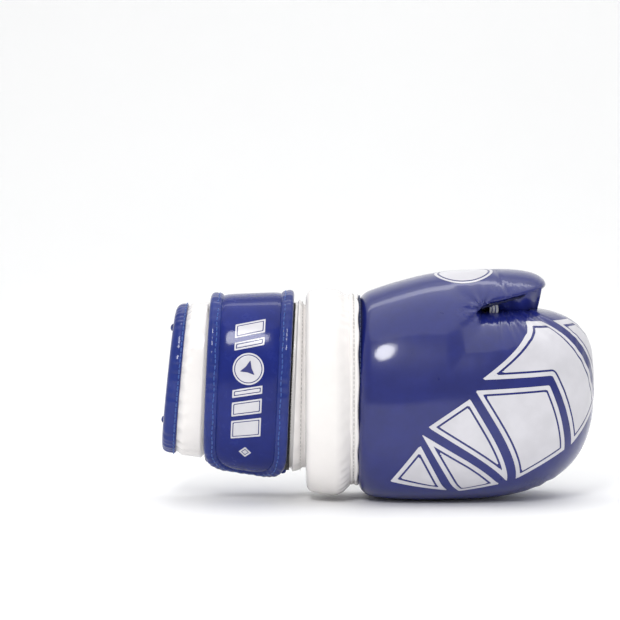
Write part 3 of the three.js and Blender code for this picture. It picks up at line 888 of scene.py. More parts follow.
NEOPRENE = knit("neoprene_jersey", (0.020, 0.021, 0.021))
LABEL = knit("label_weave", (0.62, 0.63, 0.66), 1500.0)
LOOP = pile("loop_pile", (0.012, 0.012, 0.013), 900.0)
HOOK = pile("hook_field", (0.020, 0.020, 0.021), 1400.0)
BLUE_THREAD = thread("thread_blue", (0.035, 0.120, 0.480))
WHITE_THREAD = thread("thread_white", (0.58, 0.57, 0.55))
DARK_THREAD = thread("thread_navy", (0.010, 0.035, 0.160))
PRINT_WHITE = ink("print_white", (0.62, 0.61, 0.65))
PRINT_BLUE = ink("print_blue", (0.020, 0.026, 0.165))


# ---------------------------------------------------------------- the cuff's form

SECTION_POWER = 2 / 2.4
CUFF_LOW = FIST_MID_Z + CUFF_RISE[0] - CUFF_HALF_HEIGHT[0]


def lean(x):
    return np.interp(x, (0, STRAP_START, STRAP_END + 2.5, CUFF_LENGTH), (*CUFF_LEAN, CUFF_LEAN[1], 0))


def cuff_point(x, degrees, stand_off):
    """Points round the cuff: x from its open edge, degrees from the back, and a stand-off."""
    along = np.asarray(x, float) / CUFF_LENGTH
    angle = np.radians(degrees)
    height = lerp(*CUFF_HALF_HEIGHT, along) + stand_off
    depth = lerp(*CUFF_HALF_DEPTH, along) + stand_off
    z = FIST_MID_Z + lerp(*CUFF_RISE, along) + height * signed_power(np.sin(angle), SECTION_POWER)
    y = CUFF_MID_Y - depth * signed_power(np.cos(angle), SECTION_POWER)
    leant = x + lean(x) * (z - CUFF_LOW) / (2 * CUFF_HALF_HEIGHT[0])
    return np.stack(np.broadcast_arrays(leant, y, z), -1)


def cuff_out(x, degrees):
    """The way out of the cuff at each place on it."""
    return unit(cuff_point(x, degrees, 1.0) - cuff_point(x, degrees, 0.0))


def end_close(degrees, limit, soft):
    """1 on the cuff, falling round to 0 at its ends on the palm side."""
    return np.sqrt(1 - np.clip((np.abs(degrees) - limit + soft) / soft, 0, 1) ** 2)


def ring_stitches(x, stand_off, reach, pitch=3.6, dash=2.6, radius=0.4):
    turn = np.linspace(-reach, reach, 500)
    return stitches(cuff_point(x, turn, stand_off), cuff_out(x, turn), pitch, dash, radius)


def dress(nodes):
    """Hides the CAD nodes that the piece stands for."""
    if nodes:
        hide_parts(*nodes)


def ride(piece, slot, *nodes, body="glove_back"):
    dress(nodes)
    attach(piece, body)


# ---------------------------------------------------------------- cuff, binding and roll


def make_cuff():
    """The white cuff: a padded sleeve, open along the palm, with full edges beside the strap."""
    turn = np.linspace(-CUFF_OPENING - 1, CUFF_OPENING + 1, 260)[:, None]
    ends = (1.2, 24, 26), (26, 80, 28), (81, FIST_START - 0.5, 30)
    x = np.concatenate([np.linspace(*end) for end in ends])
    full = 2.4 * smoothstep(x, 7, 13) * (1 - smoothstep(x, 82, 90))
    beside = np.where(turn < 82, 0.1, 2.4) * smoothstep(x, 22, 28) * (1 - smoothstep(x, 76, 84))
    puff = np.where((x > 25) & (x < 83), np.minimum(full, beside), full)
    puff = puff - 1.3 * (x < 7.5) - 1.6 * smoothstep(x, 87, 91)
    turns = np.radians(turn)
    gather = 0.45 * np.exp(-(((x - 10) / 5) ** 2)) * np.sin(31 * turns + 1.7 * np.sin(5 * turns))
    loose = 0.4 * np.exp(-(((x - 87) / 4) ** 2)) * np.sin(17 * turns + 1.1 * np.sin(3 * turns + 1))
    close = end_close(turn, CUFF_OPENING + 1, 6)
    top = lerp(-9.2, puff + gather + loose, close)
    points = cuff_point(x[None], turn, top), cuff_point(x[None], turn, np.full_like(top, -9.3))
    piece = add_object("cuff_padding", *slab(*points), WHITE, sharp=60)
    ride(piece, "cover_white", "cuff_cover", "cuff_foam")

    turn = np.linspace(1 - CUFF_OPENING, CUFF_OPENING - 1, 160)[:, None]
    x = np.linspace(1.4, FIST_START - 0.5, 60)
    sag = 0.25 * np.sin(x / 9 + np.radians(turn) * 4)
    shape = cuff_point(x[None], turn, -9.5 + sag * 0.4), cuff_point(x[None], turn, -11.2 + sag)
    ride(add_object("cuff_lining_mesh", *slab(*shape), MESH, sharp=60), "lining_mesh", "cuff_lining")
    row = ring_stitches(88.6, 0.95, 134, 3.0, 1.7, 0.2)
    ride(add_object("cuff_seam_stitches", *row, WHITE_THREAD), "cover_white")


BINDING_SECTION = (
    (7.9, 0.4), (7.5, 1.9), (3.0, 2.3), (-0.6, 1.2), (-1.9, -2.0), (-1.9, -7.0), (-0.8, -11.0),
    (3.0, -12.6), (7.4, -12.3), (7.9, -11.3), (7.0, -11.2), (3.0, -11.3), (0.4, -9.5), (0.0, -5.0),
    (0.4, -1.5), (3.0, -0.9), (7.2, -0.8),
)


def make_binding():
    """The blue binding folded over the cuff's open edge, gathered by its stitches."""
    turn = np.linspace(-CUFF_OPENING - 1.5, CUFF_OPENING + 1.5, 300)[:, None]
    section = rounded_loop(BINDING_SECTION)
    turns = np.radians(turn)
    gather = 0.16 * np.sin(47 * turns + 2 * np.sin(6 * turns)) + 0.14 * np.sin(29 * turns + 1)
    outer = (section[:, 1] > 0.5) | (section[:, 1] < -12)
    stand_off = section[None, :, 1] + gather * np.where(outer, 1.0, 0.3)
    points = cuff_point(section[None, :, 0] + 0 * turn, turn, stand_off)
    ride(add_object("cuff_edge_binding", *loft(points), EDGE_BLUE, sharp=60), "binding_blue", "cuff_binding")
    row = ring_stitches(6.3, 2.25, CUFF_OPENING - 2)
    ride(add_object("binding_stitches", *row, BLUE_THREAD), "binding_blue")


def make_tail(name, degrees, node):
    """The binding's folded end: a flat loop that stands out at a corner of the palm gap."""
    bend = np.linspace(-math.pi / 2, math.pi / 2, 9)
    reach = np.concatenate([[1.5], -2.6 - 2.0 * np.cos(bend), [1.5]])
    rise = np.concatenate([[-1.3], 1.7 * np.sin(bend), [1.3]])
    across = np.stack([-reach, rise], 1)
    ahead = unit(np.gradient(across, axis=0))
    side = np.stack([-ahead[:, 1], ahead[:, 0]], 1)
    edge = rounded_loop([(-0.65, -2.2), (0.65, -2.2), (0.65, 2.2), (-0.65, 2.2)], 1)
    flat = across[:, None] + side[:, None] * edge[None, :, :1]
    turn = degrees + np.broadcast_to(edge[None, :, 1], flat.shape[:2]) * 1.1
    points = cuff_point(-flat[..., 0], turn, -3 + flat[..., 1])
    ride(add_object(name, *loft(points), EDGE_BLUE, sharp=50), "binding_blue", node)


ROLL_PROFILE = (
    (91.9, -1.0), (91.9, 4.2), (92.6, 8.0), (94.4, 10.1), (97.6, 10.9), (103.0, 11.2), (108.6, 11.1),
    (111.8, 10.6), (114.4, 9.3), (116.8, 7.4), (119.2, 5.6), (120.6, 4.6),
)
FLANGE_PROFILE = (
    (119.6, 3.9), (120.5, 4.9), (121.5, 5.3), (122.4, 4.7), (123.1, 4.3), (124.0, 4.9), (125.1, 4.9),
    (125.9, 4.0),
)


def profile_at(points, count):
    """X and stand-off at some places spread evenly over a profile's corners."""
    x, rise = np.array(points).T
    steps = np.linspace(0, len(x) - 1, count)
    return np.interp(steps, range(len(x)), x), np.interp(steps, range(len(x)), rise)


def make_roll():
    """The padded wrist roll and the stitched flange that joins it to the fist."""
    turn = np.linspace(-CUFF_OPENING - 2, CUFF_OPENING + 2, 320)[:, None]
    turns = np.radians(turn)
    x, rise = profile_at(ROLL_PROFILE, 60)
    for _ in range(4):
        x[1:-1] = (x[:-2] + 2 * x[1:-1] + x[2:]) / 4
        rise[1:-1] = (rise[:-2] + 2 * rise[1:-1] + rise[2:]) / 4
    soft = 0.35 * np.sin(5 * turns + 0.6) + 0.22 * np.sin(11 * turns + x / 9)
    creases = 0.3 * np.exp(-(((x - 117) / 3) ** 2)) * np.sin(43 * turns + 2.2 * np.sin(7 * turns))
    close = end_close(turn, CUFF_OPENING + 2, 13)
    soft = soft - 2.8 * np.sin(turns)
    top = lerp(-1.0, rise + (soft + creases) * smoothstep(rise, 1, 8), close)
    points = cuff_point(x[None], turn, top), cuff_point(x[None], turn, np.full_like(top, -1.2))
    piece = add_object("wrist_roll", *slab(*points), WHITE, sharp=60)
    ride(piece, "cover_white", "roll_cover", "roll_foam")

    x, rise = profile_at(FLANGE_PROFILE, 22)
    wave = 0.35 * np.sin(23 * turns + 1.5 * np.sin(4 * turns)) * smoothstep(x, 121, 126)
    close = end_close(turn, CUFF_OPENING + 2, 7)
    top = lerp(0.5, rise + wave, close)
    x = x + 0.35 * np.sin(13 * turns) * smoothstep(x, 121, 126)
    points = cuff_point(x, turn, top), cuff_point(x, turn, np.minimum(top - 0.6, 2.2))
    ride(add_object("wrist_flange", *slab(*points), WHITE, sharp=60), "cover_white", "roll_flange")
    row = ring_stitches(122.8, 4.75, 135, 3.0, 1.8, 0.24)
    ride(add_object("flange_stitches", *row, WHITE_THREAD), "cover_white")

    turn = np.linspace(-148, 148, 360)
    cord = tube(cuff_point(126.0, turn, 2.1), 1.5, 10, up=(1.0, 0.0, 0.0))
    ride(add_object("fist_seam_cord", *cord, NAVY), "cover_blue")
    row = ring_stitches(126.9, 3.3, 142, 3.4, 2.3, 0.34)
    ride(add_object("fist_seam_stitches", *row, DARK_THREAD), "cover_blue")


def make_palm_side():
    """The smooth gusset stretched across the wrist, and the mesh panel over the heel of the hand."""
    turn = np.linspace(CUFF_OPENING - 1, 361 - CUFF_OPENING, 60)[:, None]
    x = np.linspace(0.6, 112.5, 90)
    across = (turn - 180) / (180 - CUFF_OPENING)
    pull = -1.2 * (1 - across**2) - 0.5 * np.exp(-(((x - 53) / 30) ** 2))
    creases = 0.28 * np.sin(x / 5.3 + 2 * across) * np.exp(-(((np.abs(across) - 0.8) / 0.25) ** 2))
    top = pull + creases
    points = cuff_point(x[None], turn, top - 0.2), cuff_point(x[None], turn, top - 2.8)
    piece = add_object("wrist_gusset_sheet", *slab(*points), NEOPRENE, sharp=60)
    ride(piece, "neoprene", "wrist_gusset")

    share = np.linspace(0, 1, 22)
    x = lerp(111.8, FIST_START + 13, share)
    dip = 0.9 * (1 - across**2)
    sides = [cuff_point(np.minimum(x, FIST_START)[None], turn, rise - dip) for rise in (-0.4, -3.0)]
    for side in sides:
        side[..., 0] = x
        side[..., 1] += 2.5 * share
    piece = add_object("heel_panel_sheet", *slab(*sides), MESH, sharp=60)
    ride(piece, "lining_mesh", "heel_panel")


# ---------------------------------------------------------------- the strap

TURNS = np.arange(-90.0, 262.0, 0.5)
ARC = run_of(cuff_point(STRAP_MID, TURNS, 6.0))


def arc_at(degrees):
    return float(np.interp(degrees, TURNS, ARC))


TIP = arc_at(STRAP_TIP_END)
HALF = STRAP_WIDTH / 2
BORDER = 8.4
TIP_ROUND = 36.0
TIP_POWER = 2.3
PANEL_TOP = 6.9
BADGE_RADIUS = 15
INK = 0.25  # thickness of a printed film


def strap_point(s, w, stand_off):
    """Points on the strap: s millimetres along it, w across it from its middle."""
    return cuff_point(STRAP_MID + w, np.interp(s, ARC, TURNS), stand_off)


def strap_out(s, w):
    return unit(strap_point(s, w, 7.0) - strap_point(s, w, 6.0))


def straight_edge(s0, s1, side):
    s = np.linspace(s0, s1, max(8, int(abs(s1 - s0) / 1.2)))
    outer = np.stack([s, np.full_like(s, side * HALF)], 1)
    return outer, outer - (0, side * BORDER)


def tip_edge(s1):
    """The outer and inner outlines of the border that runs round the strap's tip."""
    turn = np.linspace(0, math.pi, 120)[1:-1]
    bend = signed_power(np.stack([np.sin(turn), np.cos(turn)], 1), 2 / TIP_POWER)
    outer = np.stack([TIP + TIP_ROUND * (1 - bend[:, 0]), HALF * bend[:, 1]], 1)
    inside = TIP_ROUND - BORDER
    inner = np.stack([TIP + BORDER + inside * (1 - bend[:, 0]), (HALF - BORDER) * bend[:, 1]], 1)
    start = straight_edge(s1, TIP + TIP_ROUND, 1)
    end = straight_edge(TIP + TIP_ROUND, s1, -1)
    return tuple(np.concatenate([a, b, c]) for a, b, c in zip(start, (outer, inner), end))


BORDER_ACROSS = np.array([0.0, 0.3, 1.0, 2.3, 3.9, 5.1, 5.7, 6.6, 7.6, 8.4]) / BORDER
BORDER_TOP = np.array([5.5, 6.9, 7.9, 8.5, 8.5, 8.1, 8.0, 8.0, 7.4, 6.3])
BORDER_LOW = np.array([5.5, 4.3, 3.8, *[STRAP_BASE] * 6, 3.9])


def strap_border(edges):
    outer, inner = edges
    flat = lerp(outer[:, None], inner[:, None], BORDER_ACROSS[None, :, None])
    run = np.cumsum(np.linalg.norm(np.diff(outer, axis=0, prepend=outer[:1]), axis=1))[:, None]
    gather = (0.15 * np.sin(run * 1.05 + np.sin(run / 7)) + 0.1 * np.sin(run * 0.43)) * (BORDER_TOP > 7)
    s, w = flat[..., 0], flat[..., 1]
    return slab(strap_point(s, w, BORDER_TOP + gather), strap_point(s, w, BORDER_LOW + 0 * gather))


def border_stitches(edges):
    outer, inner = edges
    s, w = lerp(outer, inner, 5.6 / BORDER).T
    w = w + 0.25 * np.sin(s / 2.9)
    return stitches(strap_point(s, w, 8.1), strap_out(s, w))


def tip_taper(s, spare=0.0):
    """The share of its half width that the strap keeps at s, where its tip is rounded."""
    past = np.clip(TIP + TIP_ROUND - s, 0, TIP_ROUND - BORDER) / (TIP_ROUND - BORDER + spare)
    return closing(past, TIP_POWER)


def panel_top(s, w):
    """The panel's stand-off: crowned, and drawn down along its border."""
    half = (HALF - BORDER) * tip_taper(s)
    inside = np.minimum(np.maximum(half - np.abs(w), 0), np.maximum(s - TIP - BORDER, 0) * 0.8)
    return PANEL_TOP + 0.8 * (1 - np.exp(-inside / 2.2)) + 0.12 * np.sin(s / 8.5 + w / 13)


def strap_panel(s0, s1):
    s = np.linspace(s0, s1, int(abs(s1 - s0) / 1.2))[:, None]
    half = (HALF - BORDER + 0.3) * tip_taper(s)
    w = half * np.sin(np.linspace(-math.pi / 2, math.pi / 2, 40))[None]
    s = s + 0 * w
    return slab(strap_point(s, w, panel_top(s, w) - 0.4), strap_point(s, w, np.full_like(w, STRAP_BASE)))


def strap_patch(low, high, step=0.6):
    """(flat places, (points, triangles, directions)) of a stretch of the strap's panel."""
    s, w = np.meshgrid(np.arange(low[0], high[0], step), np.arange(low[1], high[1], step), indexing="ij")
    tris = triangles(grid_quads(np.arange(s.size).reshape(s.shape)))
    s, w = s.ravel(), w.ravel()
    points = strap_point(s, w, panel_top(s, w) - 0.4)
    return np.stack([s, w], 1), (points, tris, strap_out(s, w))


def film(surfaces, thickness, lift):
    """Thin closed films over pieces of surface."""
    return joined(*(shell(*surface, thickness, lift)[:2] for surface in surfaces if len(surface[1])))


def strap_section(name, s0, s1, bodies, zone, nodes, tip=False):
    """One stretch of the strap, between the bodies it joins."""
    if tip:
        borders = [tip_edge(s1)]
        panel = strap_panel(TIP + BORDER, s1)
    else:
        borders = [straight_edge(s0, s1, side) for side in (1, -1)]
        panel = strap_panel(s0, s1)
    made = [
        ("panel", panel, STRAP_BLUE, 50, nodes[0]),
        ("border", joined(*map(strap_border, borders)), EDGE_BLUE, 50, nodes[1]),
        ("stitches", joined(*map(border_stitches, borders)), BLUE_THREAD, None, ()),
    ]
    for part, shape, material, sharp, replaced in made:
        piece = add_object(f"{name}_{part}", *shape, material, sharp=sharp)
        strap_blend(piece, bodies, zone, "strap_blue", *replaced)


def strap_blend(piece, bodies, zone, slot, *nodes):
    dress(nodes)
    ends = [tuple(place(cuff_point(STRAP_MID, degrees, 6.0))) for degrees in zone]
    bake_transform(piece)


# the strap's three joins: the bodies that meet there, and the stretch round the cuff, in degrees, between
# them
UNWRAP = (("glove_back", "strap_wrap"), (STRAP_UNWRAP + 10, STRAP_UNWRAP - 12))
PEEL = (("strap_wrap", "strap_flap"), (STRAP_PEEL + 12, STRAP_PEEL - 12))
TIP_PEEL = (("strap_flap", "strap_tip"), (STRAP_TIP_BEND + 9, STRAP_TIP_BEND - 9))
PALM_JOIN = arc_at(150)
BACK_JOIN = arc_at(62)


def slanted_bar(low, high, slant, half):
    """A parallelogram across the strap."""
    return [(low, -half), (high, -half), (high + slant, half), (low + slant, half)]


def printed(surface, inside, line, gap):
    """The parts of a surface that are printed: a line just inside an outline, a gap, and the fill."""
    verts, tris, normals = surface
    rim = clipped(verts, tris, inside, normals, inside)
    rim = clipped(rim[0], rim[1], line - rim[3], rim[2])
    return rim, clipped(verts, tris, inside - line - gap, normals)


def make_strap():
    strap_section(
        "strap_palm", arc_at(STRAP_ROOT), PALM_JOIN, *UNWRAP,
        (("strap_root", "strap_palm_panel"), ("strap_palm_edge_near", "strap_palm_edge_far")),
    )
    strap_section(
        "strap_thumb_side", PALM_JOIN, BACK_JOIN, *PEEL,
        (("strap_back_panel",), ("strap_back_edge_near", "strap_back_edge_far")),
    )
    strap_section(
        "strap_end", TIP, BACK_JOIN, *TIP_PEEL, (("strap_tip_panel",), ("strap_tip_edge",)), tip=True
    )

    s = np.linspace(TIP + 9, arc_at(79), 120)[:, None]
    w = 20 * tip_taper(s, 0.5) * np.linspace(-1, 1, 30)[None]
    nap = 0.12 * np.sin(s * 3.1 + w * 1.3) * np.sin(w * 2.7)
    thinned = 1.0 * np.exp(-(((s - arc_at(STRAP_TIP_BEND) - 2.5) / 6) ** 2))  # thinner round STRAP_TIP_BEND
    hook = slab(strap_point(s, w, 3.6 + 0 * nap), strap_point(s, w, 2.2 + thinned + nap))
    piece = add_object("strap_hook_field", *hook, HOOK, sharp=50)
    strap_blend(piece, *TIP_PEEL, "hook_tape", "strap_back_hook", "strap_tip_hook")

    turn = np.linspace(-88.0, 80.0, 340)[:, None]
    x = np.linspace(STRAP_START + 1, STRAP_END + 1.2, 120)
    rough = 0.3 * np.sin(turn * 5.1) + 0.25 * np.sin(turn * 12.7 + 1)
    edge = x + np.where(x < STRAP_START + 2, -rough, 0) + np.where(x > STRAP_END + 0.6, rough, 0)
    ends = turn + 0.3 * np.sin(x * 2.3) * (np.abs(turn + 4) > 83)
    nap = 0.14 * np.sin(turn * 9.3 + x * 3.1) + 0.12 * np.sin(turn * 17.9 - x * 4.7)
    loop = slab(cuff_point(edge, ends, 1.65 + nap), cuff_point(edge, ends, 0.25 + 0 * nap))
    ride(add_object("loop_pile_patch", *loop, LOOP, sharp=50), "loop_pile", "cuff_loop_patch")

    print_strap()
    make_badge()


def print_strap():
    """Bars, a ringed arrowhead and a small diamond, printed down the strap."""
    first = arc_at(50) - 7  # where the print starts, nearest the thumb side
    bars = [
        slanted_bar(first - at - wide, first - at, 4.0, 9.5)
        for at, wide in ((0, 9), (12, 5), (42, 5), (50, 9), (62, 12))
    ]
    turn = np.linspace(0, 2 * math.pi, 48, endpoint=False)
    centre = first - 28.2
    bars.append(np.stack([centre + 10 * np.cos(turn), 10 * np.sin(turn)], 1))
    low = first - 83
    bars.append([(low - 4, 0), (low, -4), (low + 4, 0), (low, 4)])
    flat, patch = strap_patch((low - 6, -14), (first + 7, 14))
    made = [part for bar in bars for part in printed(patch, inside_by(flat, bar), 1.0, 0.55)]
    bars = add_object("strap_print", *film(made, INK, 0.16), PRINT_WHITE)
    strap_blend(bars, *TIP_PEEL, "label_cloth")
    third = 2.0944  # a third of a turn
    mark = [
        (centre + r * math.cos(a), r * math.sin(a))
        for k in range(3)
        for a, r in ((k * third + 0.2, 5.6), (k * third + 1.2472, 2.2))
    ]
    flat, (points, tris, out) = strap_patch((centre - 8, -8), (centre + 8, 8), 0.4)
    made = [clipped(points, tris, inside_by(flat, mark), out)]
    mark = add_object("strap_print_mark", *film(made, INK, 0.26), PRINT_BLUE)
    strap_blend(mark, *TIP_PEEL, "label_cloth")


def make_badge():
    """The round badge on the palm side: a disc with rings, ticks and two strokes printed on it."""
    middle = np.array([arc_at(178), 0.0])
    reach = BADGE_RADIUS + 1
    flat, (points, tris, out) = strap_patch(middle - reach, middle + reach, 0.45)
    away = flat - middle
    far, turn = np.linalg.norm(away, axis=1), np.arctan2(away[:, 1], away[:, 0])
    disc = clipped(points, tris, BADGE_RADIUS - far, out)
    disc = add_object("strap_badge_disc", *film([disc], 1.6, 1.7), PRINT_WHITE, sharp=50)
    ride(disc, "badge", "strap_badge", body="strap_wrap")
    levels = (
        0.35 - np.abs(far - 13.8),  # outer ring
        0.30 - np.abs(far - 8.2),  # inner ring
        np.minimum(0.9 - np.abs(far - 11), 0.35 * far * (np.cos(24 * turn) - 0.1)),  # ticks
        np.minimum(5.5 - far, 0.9 - np.abs(np.abs(away[:, 1]) - 2.4)),  # strokes
    )
    marks = film([clipped(points, tris, level, out) for level in levels], 0.2, 1.82)
    ride(add_object("strap_badge_marks", *marks, PRINT_BLUE), "badge", body="strap_wrap")


# ---------------------------------------------------------------- fist, thumb and lining


def bend_with_fist(piece, slot, *nodes):
    """Hides the CAD nodes that the piece stands for, and bakes its placing into its mesh."""
    dress(nodes)
    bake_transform(piece)


def make_padding():
    """Skin, lining and hem, cut from one closed surface so that they meet along their seams."""
    low = np.array([FIST_START - 4.0, -62.0, -5.0])
    high = np.array([FIST_START + FIST_LENGTH + 5.0, 56.0, 158.0])
    verts, quads = surface_nets(grid_of(pad, low, high, STEP), low, STEP)
    verts, normals = settle(verts, quads, pad, 5)
    tris = triangles(quads)
    on_thumb = smoothstep(verts[:, 2], 104, 114)
    rim = outside(verts) + rooms(verts) + 1.5 + 4.5 * on_thumb
    skin = clipped(verts, tris, rim, normals)
    lining = clipped(verts, tris, -rim, normals)
    x, z = skin[0][:, 0] - FIST_START, skin[0][:, 2]
    hem_level = np.minimum(13.5 - palm_opening(skin[0]), np.minimum(x - 64, 114 - z))
    hem_level = np.minimum(hem_level, 110 - x)
    cover = clipped(*skin[:2], -hem_level, skin[2])
    hem = clipped(*skin[:2], hem_level, skin[2])
    return cover, lining, hem


def rim_piping(surface):
    """A fine cord along the long seam where the skin meets the lining."""
    verts, tris, _ = surface
    made = []
    for loop in loops(tris):
        if len(loop) < 150:
            continue
        path = eased(verts[loop], 8, 1.8)
        made.append(tube(path, 0.75, 8, closed=True, up=(0.31, 0.9, 0.29)))
    return joined(*made)


def thumb_back(x, z):
    """Y of the thumb's back surface."""
    behind = thumb_middle(x)
    close = closing((x - THUMB[0]) / (THUMB_REACH - THUMB[0]), 6)
    up = np.clip((z - behind[1]) / (THUMB_HALF_HEIGHT * close), -1, 1)
    return behind[0] - THUMB_HALF_DEPTH * close * closing(up, THUMB_POWER)


def fist_top(x, y):
    """Z of the fist's surface above y."""
    s = (x - FIST[0]) / FIST[2]
    share = np.clip(np.abs(y) / (FIST_BACK * closing(s, FIST_FRONT)), 0, 1)
    return fist_middle(x) + FIST_HALF_HEIGHT * closing(s, 3) * closing(share, FIST_POWER)


def fork_edge(x):
    """Z of the thumb's lower edge over the fork."""
    return FORK_Z + FORK_RISE * (x - CROTCH)


def fist_points(x, y, z):
    """Points from places measured from the fist's start."""
    return np.stack(np.broadcast_arrays(FIST_START + x, y, z), -1)


def make_web():
    """The web that ties the thumb to the fist, its seams, and the label at the hole behind it."""
    u, v = unit_grid(40, 24)
    x = lerp(CROTCH + 7.0, lerp(116.8, 120.0, v), u)
    z = lerp(fist_top(x, -12.0) - 4, fork_edge(x) + 1.5, v)
    turned = 7.0 * smoothstep(u, 0.5, 1) ** 2
    y = -19 + 9 * (1 - v) - 2.2 * np.sin(math.pi * np.minimum(u, 0.5)) ** 0.5 * np.sin(math.pi * v) + turned
    y = y + 0.3 * np.sin(x * 0.7 + z * 0.3) * np.sin(math.pi * v)
    sides = fist_points(x, y, z), fist_points(x, y + 12.0 - turned, z)
    piece = add_object("thumb_web_panel", *slab(*sides), BLUE, sharp=60)
    ride(piece, "cover_blue", "thumb_web", body="finger_pad")

    x = np.linspace(80, 118, 60)
    z = fork_edge(x)
    high = fist_points(x, thumb_back(x, z) + 3.2, z - 0.1 + 0.2 * np.sin(x * 1.3))
    x = np.linspace(90, 115, 50)
    low = fist_points(x, -11.0, fist_top(x, -11.0) + 0.3 + 0.3 * np.sin(x * 1.7))
    piece = add_object("thumb_web_seams", *joined(tube(high, 0.7), tube(low, 0.7)), NAVY)
    ride(piece, "cover_blue", body="finger_pad")

    u, v = unit_grid(30, 20)
    x = lerp(70.0, 112.0, u)
    back = fist_points(x, -6 + 5 * np.cos(math.pi * u), lerp(104.0, fork_edge(x) + 6, v))
    piece = add_object("crotch_lining", *slab(back, back + (0, 1.6, 0)), MESH, sharp=60)
    ride(piece, "lining_mesh", body="finger_pad")

    def label(x0, x1, lift):
        u, v = unit_grid(6, 14)
        x = lerp(x0, x1, u) + 0.8 * np.sin(math.pi * v)
        y = -20.5 + 3.5 * (1 - v) - lift - 1.2 * np.sin(math.pi * v)
        front = fist_points(x, y, lerp(120.5, 128.6, v))
        return slab(front, front + (0, 0.9 + lift, 0))

    piece = add_object("size_label", *label(85.0, 90.6, 0.0), LABEL)
    ride(piece, "label_cloth", "thumb_label", body="finger_pad")
    lines = joined(label(86.2, 86.9, 0.12), label(88.4, 89.1, 0.12))
    ride(add_object("size_label_lines", *lines, PRINT_BLUE), "label_cloth", body="finger_pad")


# ---------------------------------------------------------------- prints on the fist

ROUND_S = np.linspace(0, 1, 160)
ROUND_X = FIST[0] + FIST[2] * np.sin(ROUND_S * math.pi) ** (2 / FIST_FRONT)
ROUND_Y = np.abs(np.cos(ROUND_S * math.pi)) ** (2 / FIST_FRONT)
ROUND_Y *= np.where(ROUND_S < 0.5, -FIST_BACK, FIST_PALM)
ROUND_RUN = run_of(np.stack([ROUND_X, ROUND_Y], 1))
ROUND_TURN = np.arctan2((ROUND_X - FIST[0]) / FIST[2], -ROUND_Y / FIST_BACK)


def unrolled(points):
    """2-D places on the back of the fist, measured round its front and down under its edge."""
    x = points[:, 0] - FIST_START
    turn = np.arctan2((x - FIST[0]) / FIST[2], -points[:, 1] / FIST_BACK)
    along = np.where(x < FIST[0], x, FIST[0] + np.interp(turn, ROUND_TURN, ROUND_RUN))
    under = np.maximum(0, points[:, 1] + 44) * (1 - smoothstep(points[:, 2], 4, 20))
    return np.stack([along, points[:, 2] - under], 1)


FACET_START = (22, 30)
FACET_LEAN = math.radians(38)


def facet(*corners):
    """An outline given along and across the graphic's diagonal, turned into place."""
    along, up = math.cos(FACET_LEAN), math.sin(FACET_LEAN)
    x, z = FACET_START
    return [(x + a * along - b * up, z + a * up + b * along) for a, b in corners]


FACETS = (
    facet((-9, -10), (14, -40), (21, -2)),
    facet((19, -46), (50, -60), (26, 3)),
    facet((56, -62), (64, 2), (32, 4)),
    facet((62, -64), (97, -68), (110, -24), (70, 4)),
    facet((103, -69), (139, -64), (150, 3), (77, 7), (116, -21)),
    facet((145, -61), (171, -52), (173, -2), (157, 1)),
)


def fist_print(surface):
    """The printed facets: a white line round each, a gap, and a white fill."""
    verts = surface[0]
    near = (verts[:, 1] < 34) & (verts[:, 0] > FIST_START + 4)
    flat = unrolled(verts)
    level = np.minimum(118 - verts[:, 2], 20)
    made = []
    for outline in FACETS:
        inside = np.minimum(np.where(near, inside_by(flat, outline), -9.0), level)
        made.extend(printed(surface, inside, 2.6, 1.3))
    return made


def thumb_print(surface):
    """The printed oval on top of the thumb: a ring, a gap and a fill."""
    verts = surface[0]
    middle, size = (FIST_START + 70, 3), (19, 17.5)
    inside = 18 * (1 - np.linalg.norm((verts[:, :2] - middle) / size, axis=1))
    return printed(surface, np.where(verts[:, 2] > 128, inside, -9.0), 1.7, 1.3)


def add_shell(name, surface, material, thickness, lift=0.0):
    verts, faces, normals = shell(*surface, thickness, lift)
    return add_object(name, verts, faces, material, normals)


cover, lining, hem = make_padding()
skin = add_shell("glove_skin", cover, BLUE, 1.2)
bend_with_fist(
    skin, "cover_blue", "back_cover", "back_side_panel", "back_foam", "finger_cover", "finger_side_panel",
    "finger_foam", "thumb_cover", "thumb_foam",
)
inner = add_shell("palm_lining", lining, MESH, 1.0)
bend_with_fist(inner, "lining_mesh", "back_lining", "finger_lining", "thumb_lining")
rolled = add_shell("finger_pad_hem", hem, MESH, 1.4, 0.6)
bend_with_fist(rolled, "lining_mesh", "finger_hem")
bend_with_fist(add_object("rim_piping", *rim_piping(lining), NAVY), "cover_blue")
for name, surfaces in (("fist_print", fist_print(cover)), ("thumb_print", thumb_print(cover))):
    bend_with_fist(add_object(name, *film(surfaces, INK, 0.17), PRINT_WHITE, sharp=50), "label_cloth")
make_cuff()
make_binding()
make_tail("binding_loop_thumb", CUFF_OPENING - 2, "binding_tail_thumb")
make_tail("binding_loop_finger", 2 - CUFF_OPENING, "binding_tail_finger")
make_roll()
make_palm_side()
make_strap()
make_web()


# ---------------------------------------------------------------- the studio

AIM = Vector(spot(94.8, -20, 124.5))
VIEW_WIDTH = 0.400  # metres across the picture at the glove
CAMERA_DISTANCE = 1.7
CAMERA_RISE = math.radians(5)


def add_camera():
    data = bpy.data.cameras.new("camera")
    data.sensor_width = 36
    data.lens = data.sensor_width * CAMERA_DISTANCE / VIEW_WIDTH
    data.clip_end = 20
    camera = bpy.data.objects.new("camera", data)
    back = Vector((0, -math.cos(CAMERA_RISE), math.sin(CAMERA_RISE)))
    camera.location = AIM + back * CAMERA_DISTANCE
    camera.rotation_euler = (-back).to_track_quat("-Z", "Y").to_euler()
    bpy.context.scene.collection.objects.link(camera)
    bpy.context.scene.camera = camera


